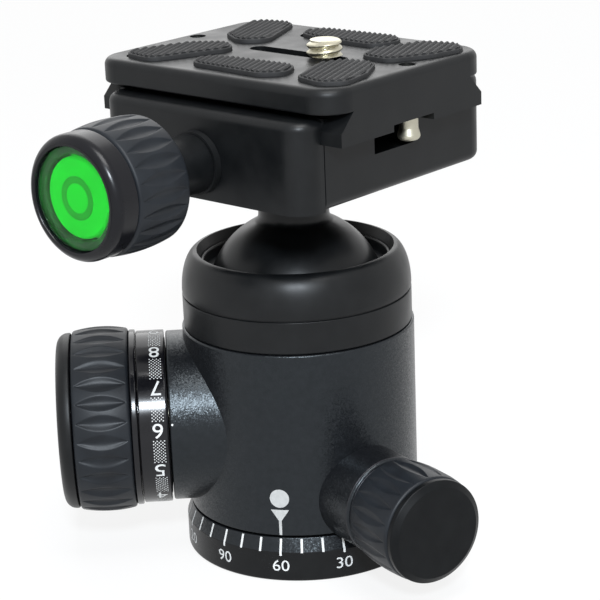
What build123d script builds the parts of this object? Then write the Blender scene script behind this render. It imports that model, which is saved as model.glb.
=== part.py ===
from build123d import *
from math import cos, radians, sin, sqrt, tan
import os

# Tripod ball head, in millimetres, +Z up.
# The origin is the centre of the base's bottom face, at the mouth of the tripod thread.
# The main lock knob points along -X and the drop notch along +Y.

# ---------------------------------------------------------------- driving dimensions
run_gap = 0.05              # radial clearance of a shaft that turns in its hole
slide_gap = 0.1             # clearance of faces that slide past each other
seat_gap = 0.3              # open gap between pieces that never touch
edge_break = 0.3            # small chamfer on turned edges
far = 100.0                 # reach of a cutter past everything it cuts

# panning base
base_step = 1.0             # the base's wall stands out past the housing
base_wall_height = 5.7      # straight wall below the scale bevel
base_height = 8.25
base_edge_chamfer = 0.4
tripod_thread_radius = 3.97  # minor radius of the 3/8 inch tripod thread
spindle_seat_depth = 2.25
spindle_neck_radius = 9.0
spindle_flange_radius = 13.5
spindle_flange_thickness = 1.6
spindle_post_radius = 9.5
spindle_post_web = 2.5      # metal between the post's top and the lock plunger
thread_depth = 10.0
base_screw_count = 3
base_screw_circle = 7.0
base_screw_radius = 1.25
base_screw_head_radius = 2.4
base_screw_head_height = 1.7
base_screw_length = 9.0
base_screw_hexagon = 1.2
base_screw_socket = 1.1
ring_screw_count = 3
ring_screw_radius = 1.0
ring_screw_head_radius = 1.5
ring_screw_length = 5.0
ring_screw_phase = 30.0
ring_screw_head_height = 0.25
pan_ring_radius = 16.9
pan_ring_thickness = 1.2

# housing; heights of the collar and races are measured from the ball's centre
housing_wall = 4.3
housing_bottom = base_height + seat_gap
collar_step = 0.35          # the collar is this much slimmer than the housing
collar_joint_drop = 4.2     # seam under the retaining collar
collar_shoulder_rise = 2.6  # where the collar starts to round over
collar_rise = 9.9
collar_lip = 1.3            # flat ring between the rounding and the mouth
groove_rise = 2.1           # decorative groove round the collar
groove_depth = 0.35
groove_width = 0.6
seam_chamfer = 0.35
mouth_chamfer = 0.4
spigot_height = 4.4         # threaded spigot that the collar screws on
spigot_wall = 2.2

# ball, seats and neck
ball_radius = 16.5
neck_radius = 6.5
neck_fillet = 1.6
seat_play = 0.12            # gap between the unlocked ball and its lower seat
chamber_play = 0.7          # gap between the ball and the housing's chamber
mouth_play = 0.3            # gap between the ball and the collar's mouth
seat_foot_height = 4.5      # from the plunger's axis to the seat's underside
seat_floor_thickness = 0.78
seat_top_drop = 7.4
seat_inner_radius = 8.0
race_wall = 1.5
race_lip = 1.6
race_bottom_rise = 1.8
race_top_rise = 6.0
notch_clearance = 0.55      # beside the neck in the drop notch

# main lock knob, its axis along -X
main_knob_azimuth = 180.0
main_knob_height = 25.5
main_knob_radius = 16.4     # cap and flange, on which the radii of ring and grip are based
main_boss_step = 0.55
main_boss_end = 24.75
main_ring_gap = 0.35
main_ring_length = 5.15
main_ring_step = 0.3
main_flange_gap = 0.2
main_flange_thickness = 1.15
main_grip_length = 10.7
main_grip_back_swell = 0.3
main_grip_belly_swell = 0.9
main_grip_front_swell = 0.2
main_cap_length = 2.6
main_cap_rounding = 2.1
main_cap_recess_radius = 11.5
main_cap_recess_depth = 0.6
main_hub_radius = 12.5
main_hub_step = 1.5         # the hub is slimmer under the scale ring
main_flutes = 30
main_flute_width = 3.2
main_flute_depth = 0.6
main_shaft_radius = 3.0
main_shaft_tip = 13.5
main_shaft_recess = 4.0     # from the hub screw's head to the shaft's end
main_bush_radius = 6.0
main_bush_length = 7.0
plunger_radius = 3.0
plunger_nose = 6.5          # how far the plunger reaches past the centre
plunger_end_room = 2.0      # open bore past the plunger's nose
plunger_pilot_radius = 1.5
plunger_pilot_length = 3.0
hub_screw_radius = 2.0
hub_screw_engagement = 6.0
hub_screw_head_radius = 3.6
hub_screw_head_height = 3.2
hub_screw_hexagon = 1.7
hub_screw_socket = 1.8
wedge_angle = 20.0
wedge_width = 4.0
wedge_half_length = 4.0
wedge_face_height = 1.4     # the sloping face's middle, above the plunger's axis
wedge_travel = 1.5          # spare length of the plunger's ramp

# flutes of the three rubber grips
grip_edge = 0.5
flute_share = 0.84          # part of the grip's length that a flute takes

# panning lock knob
pan_knob_azimuth = -61.2
pan_knob_height = 14.95
pan_boss_radius = 9.2
pan_boss_end = 28.8
pan_boss_chamfer = 0.6
pan_knob_gap = 0.6
pan_skirt_step = 0.8
pan_grip_length = 11.8
pan_grip_back_inset = 0.2
pan_grip_belly_swell = 0.4
pan_grip_front_swell = 0.1
pan_cap_length = 1.9
pan_cap_bevel = 0.9
pan_knob_radius = 9.5       # cap, on which the radii of the grip are based
pan_cap_face_inset = 1.2
pan_hub_radius = 7.0
pan_flutes = 14
pan_flute_width = 3.5
pan_flute_depth = 0.55
pan_screw_radius = 2.5
pan_screw_tip = 14.0
pan_screw_recess = 3.2      # from the grip's end to the screw's end
pan_pad_radius = 2.0
pan_pad_tip = 8.95
pan_pad_tip_radius = 0.4
pan_groove_half_width = 1.7
pan_groove_depth = 0.85
washer_ring_thickness = 0.3   # thrust washer over the spindle's flange

# quick-release clamp: u along the rail, v towards its knob, w above the ball centre
rail_azimuth = -44.9
clamp_half_length = 23.9
clamp_back = 26.9           # outer face of the fixed jaw, away from the knob
clamp_split = 18.3          # face of the body towards the moving jaw
clamp_bottom = 24.1
clamp_floor = 35.75
clamp_side_height = 4.25    # from the channel's floor to the top of the jaws
split_gap = 0.25            # open gap between the body and the moving jaw
jaw_thickness = 5.55
jaw_lip = 3.0               # how far the jaw's lip may reach over the body
clamp_corner_radius = 4.6
clamp_edge_fillet = 1.6
dovetail_half_width = 19.2
dovetail_land = 2.3         # height of the dovetail's upright edge
dovetail_play = 0.06
pocket_half_width = 5.3
pocket_depth = 4.5
pocket_inner_end = 14.5
mount_screw_radius = 3.0
mount_screw_head_radius = 5.6
mount_screw_head_height = 2.6
mount_screw_sink = 0.2      # the head's depth below the channel's floor
mount_screw_depth = 14.0
mount_screw_hexagon = 2.4
mount_screw_socket = 1.6
guide_pin_offset = 17.0
guide_pin_radius = 1.6
guide_pin_start = 8.0
guide_hole_wall = 1.0       # metal left beyond the pin's blind hole in the jaw
guide_height = 30.7
spring_wire_radius = 0.4
spring_radius = 2.3
spring_pocket_radius = 2.9
spring_pocket_depth = 8.0
spring_turns = 6

# clamp knob, its axis through the jaw
clamp_screw_radius = 3.0
clamp_screw_tip = 7.0
clamp_screw_relief = 0.6
washer_radius = 5.6
washer_thickness = 1.3
clamp_neck_radius = 5.2
clamp_neck_length = 11.4
clamp_skirt_step = 1.2
clamp_skirt_flat = 0.2
clamp_skirt_slope = 0.4
clamp_grip_length = 11.7
clamp_grip_end_swell = 0.1
clamp_grip_belly_swell = 0.6
clamp_hub_radius = 8.2
clamp_flutes = 16
clamp_flute_width = 3.7
clamp_flute_depth = 0.6
bezel_length = 5.0
bezel_radius = 10.7         # the radii of the grip are based on this
bezel_rounding = 1.8
level_radius = 8.7
level_depth = 3.4
lens_thickness = 1.0
lens_recess = 0.35
lens_edge = 0.6
lens_bevel = 1.2

# quick-release plate
plate_length = 56.1
plate_width = 43.2
plate_offset = 0.4          # how far the plate sits along the rail from the neck
plate_corner_radius = 5.5
plate_edge_fillet = 1.4
plate_lower_fillet = 0.4
plate_top = 45.6
slab_underside = 41.2
plate_groove_half_width = 5.5
plate_groove_depth = 1.2
slot_half_width = 1.8
slot_start = -8.4
slot_end = 13.5
head_channel_half_width = 7.0
head_channel_floor = 40.6
head_channel_start = -17.5
head_channel_end = 20.5
stop_screw_inset = 3.25     # from the plate's end to the screw's axis
stop_screw_side = -2.5
stop_screw_radius = 1.5
stop_screw_recess = 0.8     # from the plate's top down to the screw's end
stop_screw_collar_radius = 1.7
stop_screw_head_radius = 2.25
stop_screw_head_height = 2.2
stop_screw_reach = 3.3      # from the channel's floor down to the screw's head end
stop_screw_rounding = 0.8
pad_height = 1.0
pad_seat_depth = 0.4
pad_corner_radius = 2.4

# Outlines of the pads on one side of the rail, in shares of the plate's half length and half width.
left_pad_shares = [(-0.88, 0.82), (-0.56, 0.91), (-0.32, 0.22), (-0.48, 0.04), (-0.70, 0.22)]
middle_pad_shares = [(-0.40, 0.60), (-0.22, 0.83), (0.34, 0.87), (0.48, 0.72), (0.38, 0.47), (-0.12, 0.50)]
right_pad_shares = [(0.60, 0.80), (0.83, 0.88), (0.96, 0.74), (0.91, 0.42), (0.76, 0.07), (0.53, 0.09),
                    (0.46, 0.34)]

# camera screw, free to turn and to slide in the slot
screw_place = 8.75
screw_thread_radius = 3.175
screw_neck_radius = 1.7
screw_reach = 3.1           # how far the thread stands out of the plate
screw_chamfer = 0.6
screw_head_radius = 6.2
screw_head_height = 3.0
screw_head_edge = 0.4
screw_collar_gap = 0.35
coin_slot_width = 1.4
coin_slot_depth = 1.5
retainer_radius = 4.2
retainer_thickness = 0.5
retainer_mouth = 2.6

# ---------------------------------------------------------------- derived places
chamber_radius = ball_radius + chamber_play
seat_radius = chamber_radius - slide_gap
spigot_radius = chamber_radius + spigot_wall
housing_radius = chamber_radius + housing_wall
collar_radius = housing_radius - collar_step
base_bevel_radius = housing_radius
base_radius = housing_radius + base_step
rim_radius = ball_radius + mouth_play
collar_top_radius = rim_radius + collar_lip
race_outer_radius = rim_radius + race_wall
race_inner_radius = rim_radius - race_lip
groove_floor_radius = collar_radius - groove_depth
seat_floor = main_knob_height + seat_foot_height
ball_height = seat_floor + seat_floor_thickness + seat_play + ball_radius
seat_top = ball_height - seat_top_drop
ball_centre = Vector(0, 0, ball_height)
collar_joint = ball_height - collar_joint_drop
collar_shoulder = ball_height + collar_shoulder_rise
collar_top = ball_height + collar_rise
groove_height = ball_height + groove_rise
race_bottom = ball_height + race_bottom_rise
race_top = ball_height + race_top_rise
notch_radius = neck_radius + notch_clearance
wedge_slope = tan(radians(wedge_angle))
cross_bore_radius = plunger_radius + run_gap

spindle_seat = base_height - spindle_seat_depth
spindle_flange_bottom = housing_bottom + seat_gap + pan_ring_thickness + slide_gap
spindle_flange_top = spindle_flange_bottom + spindle_flange_thickness
spindle_post_top = main_knob_height - plunger_radius - spindle_post_web
ring_screw_circle = (spindle_flange_radius + pan_ring_radius) / 2

main_boss_radius = main_knob_radius - main_boss_step
main_ring_radius = main_knob_radius - main_ring_step
main_ring_start = main_boss_end + main_ring_gap
main_ring_end = main_ring_start + main_ring_length
main_flange_start = main_ring_end + main_flange_gap
main_flange_end = main_flange_start + main_flange_thickness
main_grip_end = main_flange_end + main_grip_length
main_cap_end = main_grip_end + slide_gap + main_cap_length
main_hub_waist = main_hub_radius - main_hub_step
main_shaft_end = main_grip_end - hub_screw_head_height - main_shaft_recess
pan_grip_back_radius = pan_knob_radius - pan_grip_back_inset
pan_knob_start = pan_boss_end + pan_knob_gap
pan_grip_end = pan_knob_start + pan_grip_length
pan_cap_end = pan_grip_end + slide_gap + pan_cap_length
pan_screw_end = pan_grip_end - pan_screw_recess

neck_top = clamp_bottom
jaw_top = clamp_floor + clamp_side_height
jaw_face = clamp_split + split_gap
jaw_outer = jaw_face + jaw_thickness
guide_hole_end = jaw_outer - guide_hole_wall
guide_pin_end = guide_hole_end - seat_gap
dovetail_top = clamp_floor + dovetail_land
clamp_neck_start = jaw_outer + slide_gap + washer_thickness + slide_gap
clamp_knob_start = clamp_neck_start + clamp_neck_length
clamp_grip_end = clamp_knob_start + clamp_grip_length
clamp_grip_end_radius = bezel_radius + clamp_grip_end_swell
bezel_start = clamp_grip_end + slide_gap
bezel_end = bezel_start + bezel_length
lens_start = bezel_end - lens_recess - lens_thickness
level_floor = lens_start - level_depth

plate_half_length = plate_length / 2
plate_half_width = plate_width / 2
stop_screw_places = [plate_offset + side * (plate_half_length - stop_screw_inset) for side in (-1, 1)]
retainer_bottom = head_channel_floor - slide_gap - retainer_thickness
head_top = retainer_bottom - run_gap
screw_head_bottom = head_top - screw_head_height
screw_top = plate_top + screw_reach
pad_base = plate_top - pad_seat_depth


def azimuth_axis(azimuth, height):
    """Location whose local Z points outward at this azimuth, from the head's axis at this height."""
    outward = (cos(radians(azimuth)), sin(radians(azimuth)), 0)
    return Plane(origin=(0, 0, height), x_dir=(0, 0, 1), z_dir=outward).location


MAIN = azimuth_axis(main_knob_azimuth, main_knob_height)
PAN = azimuth_axis(pan_knob_azimuth, pan_knob_height)
CLAMP = Pos(0, 0, ball_height) * Rot(0, 0, rail_azimuth)
# In the clamp's own frame x is u, y is -v and z is w, and the knob's axis points along -y.
KNOB_IN_CLAMP = Plane(origin=(0, 0, guide_height), x_dir=(0, 0, 1), z_dir=(0, -1, 0)).location
KNOB = CLAMP * KNOB_IN_CLAMP


# ---------------------------------------------------------------- small helpers
def turned(*points):
    """Solid of revolution about local Z from a closed outline of (radius, height) points."""
    outline = Polyline(*[(r, h) for r, h in points], close=True)
    return revolve(Plane.XZ * make_face(outline), Axis.Z)


def rod(radius, low, high):
    return Pos(0, 0, low) * Cylinder(radius, high - low, align=(Align.CENTER, Align.CENTER, Align.MIN))


def tube(outer, inner, low, high):
    return rod(outer, low, high) - rod(inner, low - edge_break, high + edge_break)


def block(x_low, x_high, y_low, y_high, z_low, z_high):
    centre = Pos((x_low + x_high) / 2, (y_low + y_high) / 2, (z_low + z_high) / 2)
    return centre * Box(x_high - x_low, y_high - y_low, z_high - z_low)


def around(count, radius, phase=0.0):
    """Locations evenly spaced on a circle about local Z, the first at this angle in degrees."""
    angles = [radians(phase + i * 360 / count) for i in range(count)]
    return [Pos(radius * cos(angle), radius * sin(angle), 0) for angle in angles]


def joined(shapes):
    """One compound of separate solids."""
    return Compound(children=list(shapes))


def hexagon_socket(radius, low, high):
    return Pos(0, 0, low) * extrude(RegularPolygon(radius, 6), high - low)


def save(shape, node):
    export_step(shape, f"parts/{node}.step")


# ---------------------------------------------------------------- panning base
def make_base_disc():
    disc = turned(
        (0, 0),
        (base_radius - base_edge_chamfer, 0),
        (base_radius, base_edge_chamfer),
        (base_radius, base_wall_height),
        (base_bevel_radius, base_height),
        (0, base_height),
    )
    disc -= rod(tripod_thread_radius, -far, far)
    disc -= rod(spindle_neck_radius + run_gap, spindle_seat, far)
    for place in around(base_screw_count, base_screw_circle):
        disc -= place * rod(base_screw_radius + run_gap, -far, far)
        disc -= place * rod(base_screw_head_radius + slide_gap, -far, base_screw_head_height + slide_gap)
    return disc


def make_pan_spindle():
    groove_low = pan_knob_height - pan_groove_half_width
    groove_high = pan_knob_height + pan_groove_half_width
    spindle = turned(
        (tripod_thread_radius, spindle_seat),
        (spindle_neck_radius, spindle_seat),
        (spindle_neck_radius, spindle_flange_bottom),
        (spindle_flange_radius, spindle_flange_bottom),
        (spindle_flange_radius, spindle_flange_top),
        (spindle_post_radius, spindle_flange_top),
        (spindle_post_radius, groove_low),
        (spindle_post_radius - pan_groove_depth, pan_knob_height),
        (spindle_post_radius, groove_high),
        (spindle_post_radius, spindle_post_top),
        (0, spindle_post_top),
        (0, thread_depth),
        (tripod_thread_radius, thread_depth),
    )
    for place in around(base_screw_count, base_screw_circle):
        spindle -= place * rod(base_screw_radius, 0, base_screw_length)
    return spindle


def make_base_screw():
    head = rod(base_screw_head_radius, slide_gap, base_screw_head_height)
    shank = rod(base_screw_radius, base_screw_head_height, base_screw_length)
    return head + shank - hexagon_socket(base_screw_hexagon, 0, base_screw_socket)


def make_pan_ring():
    bottom = housing_bottom + seat_gap
    ring = tube(pan_ring_radius, spindle_neck_radius + slide_gap, bottom, bottom + pan_ring_thickness)
    for place in around(ring_screw_count, ring_screw_circle, ring_screw_phase):
        ring -= place * rod(ring_screw_radius + run_gap, 0, far)
    return ring


def make_ring_screw():
    """Thread from the retaining ring up into the housing, with a thin head under the ring."""
    bottom = housing_bottom + seat_gap
    shank = rod(ring_screw_radius, bottom, bottom + ring_screw_length)
    return shank + rod(ring_screw_head_radius, bottom - ring_screw_head_height, bottom)


def make_thrust_washer():
    inner = spindle_post_radius + slide_gap
    low = spindle_flange_top + run_gap
    return tube(spindle_flange_radius, inner, low, low + washer_ring_thickness)


# ---------------------------------------------------------------- housing
def drop_notch():
    """Slot open to the top, with a half-round bottom at the ball's centre height."""
    slot = block(-notch_radius, notch_radius, 0, far, ball_height, far)
    return slot + Pos(0, 0, ball_height) * Rot(-90, 0, 0) * rod(notch_radius, 0, far)


def make_housing():
    body = turned(
        (0, housing_bottom),
        (housing_radius - seam_chamfer, housing_bottom),
        (housing_radius, housing_bottom + seam_chamfer),
        (housing_radius, collar_joint - seam_chamfer),
        (housing_radius - seam_chamfer, collar_joint),
        (spigot_radius, collar_joint),
        (spigot_radius, collar_joint + spigot_height),
        (0, collar_joint + spigot_height),
    )
    main_boss = MAIN * turned(
        (0, 0),
        (main_boss_radius, 0),
        (main_boss_radius, main_boss_end - seam_chamfer),
        (main_boss_radius - seam_chamfer, main_boss_end),
        (0, main_boss_end),
    )
    pan_boss = PAN * turned(
        (0, 0),
        (pan_boss_radius, 0),
        (pan_boss_radius, pan_boss_end - pan_boss_chamfer),
        (pan_boss_radius - pan_boss_chamfer, pan_boss_end),
        (0, pan_boss_end),
    )
    below = block(-far, far, -far, far, -far, housing_bottom)
    body += main_boss - below
    body += pan_boss - below
    ring_bottom = housing_bottom + seat_gap
    washer_top = spindle_flange_top + 2 * run_gap + washer_ring_thickness
    body -= rod(chamber_radius, seat_floor - seat_gap, far)
    body -= rod(spindle_post_radius + run_gap, 0, spindle_post_top + seat_gap)
    body -= rod(spindle_flange_radius + slide_gap, 0, washer_top)
    body -= rod(pan_ring_radius + run_gap, 0, ring_bottom + pan_ring_thickness)
    for place in around(ring_screw_count, ring_screw_circle, ring_screw_phase):
        body -= place * rod(ring_screw_radius, 0, ring_bottom + ring_screw_length)
    body -= MAIN * rod(cross_bore_radius, -plunger_nose - plunger_end_room, far)
    body -= MAIN * rod(main_bush_radius, main_boss_end - main_bush_length, far)
    wedge_room = wedge_half_length + 2 * slide_gap
    wedge_side = wedge_width / 2 + slide_gap
    body -= block(-wedge_room, wedge_room, -wedge_side, wedge_side, main_knob_height, seat_floor)
    body -= PAN * rod(pan_pad_radius + run_gap, pan_pad_tip, far)
    body -= PAN * rod(pan_screw_radius + run_gap, pan_screw_tip, far)
    body -= drop_notch()
    return body


def make_retaining_collar():
    inner = spigot_radius + run_gap
    outline = [
        Line((inner, collar_joint), (collar_radius - seam_chamfer, collar_joint)),
        Line((collar_radius - seam_chamfer, collar_joint), (collar_radius, collar_joint + seam_chamfer)),
        Line((collar_radius, collar_joint + seam_chamfer), (collar_radius, collar_shoulder)),
        EllipticalCenterArc(
            (collar_top_radius, collar_shoulder),
            collar_radius - collar_top_radius,
            collar_top - collar_shoulder,
            start_angle=0,
            arc_size=90,
        ),
        Line((collar_top_radius, collar_top), (rim_radius + edge_break, collar_top)),
        Line((rim_radius + edge_break, collar_top), (rim_radius, collar_top - mouth_chamfer)),
        Line((rim_radius, collar_top - mouth_chamfer), (rim_radius, race_top)),
        Line((rim_radius, race_top), (race_outer_radius, race_top)),
        Line((race_outer_radius, race_top), (race_outer_radius, race_bottom)),
        Line((race_outer_radius, race_bottom), (inner, race_bottom)),
        Line((inner, race_bottom), (inner, collar_joint)),
    ]
    collar = revolve(Plane.XZ * make_face(outline), Axis.Z)
    groove_low = groove_height - groove_width / 2
    collar -= tube(far, groove_floor_radius, groove_low, groove_low + groove_width)
    return collar - drop_notch()


def make_upper_race():
    ring = tube(race_outer_radius, race_inner_radius, race_bottom, race_top)
    ring -= Pos(ball_centre) * Sphere(ball_radius + run_gap)
    return ring - drop_notch()


def make_lower_seat():
    """Cup under the ball, relieved inside its narrow contact ring."""
    lip_height = ball_height - sqrt((ball_radius + seat_play) ** 2 - seat_inner_radius**2)
    relief_floor = seat_floor + seat_floor_thickness + seat_gap
    cup = rod(seat_radius, seat_floor, seat_top)
    cup -= Pos(ball_centre) * Sphere(ball_radius + seat_play)
    cup -= rod(seat_inner_radius, relief_floor, lip_height + seat_gap)
    return cup


def make_wedge_foot():
    """Block under the seat whose bottom slopes down towards the centre side of the plunger."""
    side = wedge_width / 2
    foot = block(-wedge_half_length, wedge_half_length, -side, side, main_knob_height, seat_floor)
    return foot - ramp_below(0)


def ramp_below(clearance):
    """Everything under the sloping wedge face, which rises towards the main knob."""
    middle = main_knob_height + wedge_face_height - clearance
    points = [
        (-far, middle + far * wedge_slope),
        (far, middle - far * wedge_slope),
        (far, -far),
        (-far, -far),
    ]
    return extrude(Plane.XZ * make_face(Polyline(*points, close=True)), far, both=True)


# ---------------------------------------------------------------- knobs
def grip_body(start, end, back, belly, front, inner):
    """Barrel-shaped rubber sleeve, between start and end on the knob's axis."""
    middle = (start + end) / 2
    outline = [
        Line((inner, start), (back - grip_edge, start)),
        Line((back - grip_edge, start), (back, start + grip_edge)),
        ThreePointArc((back, start + grip_edge), (belly, middle), (front, end - grip_edge)),
        Line((front, end - grip_edge), (front - grip_edge, end)),
        Line((front - grip_edge, end), (inner, end)),
        Line((inner, end), (inner, start)),
    ]
    return revolve(Plane.XZ * make_face(outline), Axis.Z)


def flute_cutter(length, waist, narrow):
    """Slim barrel, thickest at its middle, that mills one flute."""
    half = length / 2
    outline = [
        Line((0, -half), (narrow, -half)),
        ThreePointArc((narrow, -half), (waist, 0), (narrow, half)),
        Line((narrow, half), (0, half)),
        Line((0, half), (0, -half)),
    ]
    return revolve(Plane.XZ * make_face(outline), Axis.Z)


def fluted_grip(start, end, back, belly, front, inner, count, width, depth):
    """Grip with flutes of this width and depth at its belly, which run out before its ends."""
    grip = grip_body(start, end, back, belly, front, inner)
    drop = belly - (back + front) / 2
    waist = (width**2 / 4 + depth**2) / (2 * depth)
    narrow = waist - (depth - drop) / flute_share**2
    cutter = Pos(0, 0, (start + end) / 2) * flute_cutter(end - start, waist, narrow)
    for place in around(count, belly + waist - depth):
        grip -= place * cutter
    return grip


def make_main_hub():
    """Hub with the thin flange between scale ring and grip; the shaft's end sits in its bore."""
    bore = main_shaft_radius + run_gap
    recess = hub_screw_head_radius + slide_gap
    recess_floor = main_grip_end - hub_screw_head_height - slide_gap
    hub = turned(
        (bore, main_ring_start),
        (main_hub_waist, main_ring_start),
        (main_hub_waist, main_flange_start),
        (main_knob_radius, main_flange_start),
        (main_knob_radius, main_flange_end),
        (main_hub_radius, main_flange_end),
        (main_hub_radius, main_grip_end),
        (recess, main_grip_end),
        (recess, recess_floor),
        (bore, recess_floor),
    )
    return MAIN * hub


def make_main_scale_ring():
    return MAIN * tube(main_ring_radius, main_hub_waist + run_gap, main_ring_start, main_ring_end)


def make_main_grip():
    return MAIN * fluted_grip(
        main_flange_end + slide_gap,
        main_grip_end - slide_gap,
        main_knob_radius + main_grip_back_swell,
        main_knob_radius + main_grip_belly_swell,
        main_knob_radius + main_grip_front_swell,
        main_hub_radius + run_gap,
        main_flutes,
        main_flute_width,
        main_flute_depth,
    )


def make_main_cap():
    low = main_grip_end + slide_gap
    shoulder = main_cap_end - main_cap_rounding
    face = main_knob_radius - main_cap_rounding
    recess_floor = main_cap_end - main_cap_recess_depth
    outline = [
        Line((0, low), (main_knob_radius - edge_break, low)),
        Line((main_knob_radius - edge_break, low), (main_knob_radius, low + edge_break)),
        Line((main_knob_radius, low + edge_break), (main_knob_radius, shoulder)),
        RadiusArc((main_knob_radius, shoulder), (face, main_cap_end), -main_cap_rounding),
        Line((face, main_cap_end), (main_cap_recess_radius, main_cap_end)),
        Line((main_cap_recess_radius, main_cap_end), (main_cap_recess_radius, recess_floor)),
        Line((main_cap_recess_radius, recess_floor), (0, recess_floor)),
        Line((0, recess_floor), (0, low)),
    ]
    return MAIN * revolve(Plane.XZ * make_face(outline), Axis.Z)


def make_main_bush():
    low = main_boss_end - main_bush_length
    return MAIN * tube(main_bush_radius, main_shaft_radius + run_gap, low, main_boss_end)


def make_main_lock_shaft():
    shaft = rod(main_shaft_radius, main_shaft_tip, main_shaft_end)
    shaft += rod(plunger_pilot_radius, main_shaft_tip - plunger_pilot_length, main_shaft_tip)
    shaft -= rod(hub_screw_radius, main_shaft_end - hub_screw_engagement - seat_gap, far)
    return MAIN * shaft


def make_hub_screw():
    top = main_grip_end - slide_gap
    head = rod(hub_screw_head_radius, top - hub_screw_head_height, top)
    shank = rod(hub_screw_radius, main_shaft_end - hub_screw_engagement, top - hub_screw_head_height)
    return MAIN * (head + shank - hexagon_socket(hub_screw_hexagon, top - hub_screw_socket, far))


def make_lock_plunger():
    """Push rod with a sloping top that lifts the seat as the main knob drives it inward."""
    plunger = rod(plunger_radius, -plunger_nose, main_shaft_tip - run_gap)
    pilot_end = main_shaft_tip - plunger_pilot_length - 2 * slide_gap
    plunger -= rod(plunger_pilot_radius + run_gap, pilot_end, far)
    ramp_end = wedge_half_length + wedge_travel
    above_ramp = block(-ramp_end, far, -far, far, -far, far) - ramp_below(run_gap)
    return MAIN * plunger - above_ramp


def make_pan_hub():
    skirt = pan_grip_back_radius - pan_skirt_step
    hub = tube(pan_hub_radius, pan_screw_radius, pan_knob_start, pan_grip_end)
    hub += tube(skirt, pan_screw_radius, pan_knob_start - pan_knob_gap / 2, pan_knob_start)
    return PAN * hub


def make_pan_grip():
    return PAN * fluted_grip(
        pan_knob_start,
        pan_grip_end,
        pan_grip_back_radius,
        pan_knob_radius + pan_grip_belly_swell,
        pan_knob_radius + pan_grip_front_swell,
        pan_hub_radius + run_gap,
        pan_flutes,
        pan_flute_width,
        pan_flute_depth,
    )


def make_pan_cap():
    low = pan_grip_end + slide_gap
    cap = turned(
        (0, low),
        (pan_knob_radius - edge_break, low),
        (pan_knob_radius, low + edge_break),
        (pan_knob_radius, pan_cap_end - pan_cap_bevel),
        (pan_knob_radius - pan_cap_face_inset, pan_cap_end),
        (0, pan_cap_end),
    )
    return PAN * cap


def make_pan_screw():
    return PAN * rod(pan_screw_radius, pan_screw_tip, pan_screw_end)


def make_pan_pad():
    groove_slope = pan_groove_depth / pan_groove_half_width
    cone_length = (pan_pad_radius - pan_pad_tip_radius) * groove_slope
    tip = turned(
        (0, pan_pad_tip),
        (pan_pad_tip_radius, pan_pad_tip),
        (pan_pad_radius, pan_pad_tip + cone_length),
        (pan_pad_radius, pan_screw_tip - run_gap),
        (0, pan_screw_tip - run_gap),
    )
    return PAN * tip


# ---------------------------------------------------------------- ball and neck
def make_ball():
    """Ball and its neck, one turned piece, bored for the clamp's fixing screw."""
    join = sqrt(ball_radius**2 - neck_radius**2)
    ball = Sphere(ball_radius) + rod(neck_radius, 0, neck_top)
    circles = ball.edges().filter_by(GeomType.CIRCLE)
    seam = [edge for edge in circles if abs(edge.center().Z - join) < edge_break]
    ball = fillet(seam, neck_fillet)
    ball -= rod(mount_screw_radius, neck_top - mount_screw_depth, far)
    return Pos(ball_centre) * ball


# ---------------------------------------------------------------- clamp
def dovetail_prism(extra, half_length):
    """Space of the plate's dovetail, widened by a clearance, along the rail."""
    half = dovetail_half_width + extra
    top = slab_underside + plate_lower_fillet
    narrow = half - (top - dovetail_top)
    points = [
        (-half, clamp_floor),
        (half, clamp_floor),
        (half, dovetail_top),
        (narrow, top),
        (-narrow, top),
        (-half, dovetail_top),
    ]
    return extrude(Plane.YZ * make_face(Polyline(*points, close=True)), half_length, both=True)


def rounded_block(split_face, outer_face):
    """Clamp-sized block between two faces, with its upright and top edges rounded except at the split."""
    low, high = sorted((split_face, outer_face))
    body = block(-clamp_half_length, clamp_half_length, low, high, clamp_bottom, jaw_top)
    upright = body.edges().filter_by(Axis.Z)
    body = fillet(edges_off_plane(upright, split_face), clamp_corner_radius)
    top_edges = body.faces().sort_by(Axis.Z)[-1].edges()
    return fillet(edges_off_plane(top_edges, split_face), clamp_edge_fillet)


def edges_off_plane(edges, y):
    """The edges whose middle doesn't lie at this local Y."""
    return [edge for edge in edges if abs(edge.center().Y - y) > run_gap]


def make_clamp_base():
    body = rounded_block(-clamp_split, clamp_back)
    bottom_edges = body.faces().sort_by(Axis.Z)[0].edges()
    body = fillet(edges_off_plane(bottom_edges, -clamp_split), clamp_edge_fillet)
    body -= dovetail_prism(dovetail_play, far)
    body -= block(-far, far, -far, -dovetail_half_width / 2, clamp_floor, far)
    for side in (-1, 1):
        near, distant = sorted((side * pocket_inner_end, side * far))
        pocket_floor = clamp_floor - pocket_depth
        body -= block(near, distant, -pocket_half_width, pocket_half_width, pocket_floor, far)
    head_seat = clamp_floor - mount_screw_sink - mount_screw_head_height
    body -= rod(mount_screw_radius + run_gap, 0, far)
    body -= rod(mount_screw_head_radius + slide_gap, head_seat, far)
    body -= knob_rod(clamp_screw_radius + run_gap, clamp_screw_tip - clamp_screw_relief, far)
    for side in (-1, 1):
        hole = Pos(side * guide_pin_offset, 0, 0)
        body -= hole * knob_rod(guide_pin_radius, guide_pin_start, far)
        body -= hole * knob_rod(spring_pocket_radius, clamp_split - spring_pocket_depth, far)
    return body


def knob_rod(radius, low, high):
    """Rod along the clamp screw's direction, in the clamp's frame."""
    return KNOB_IN_CLAMP * rod(radius, low, high)


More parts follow.
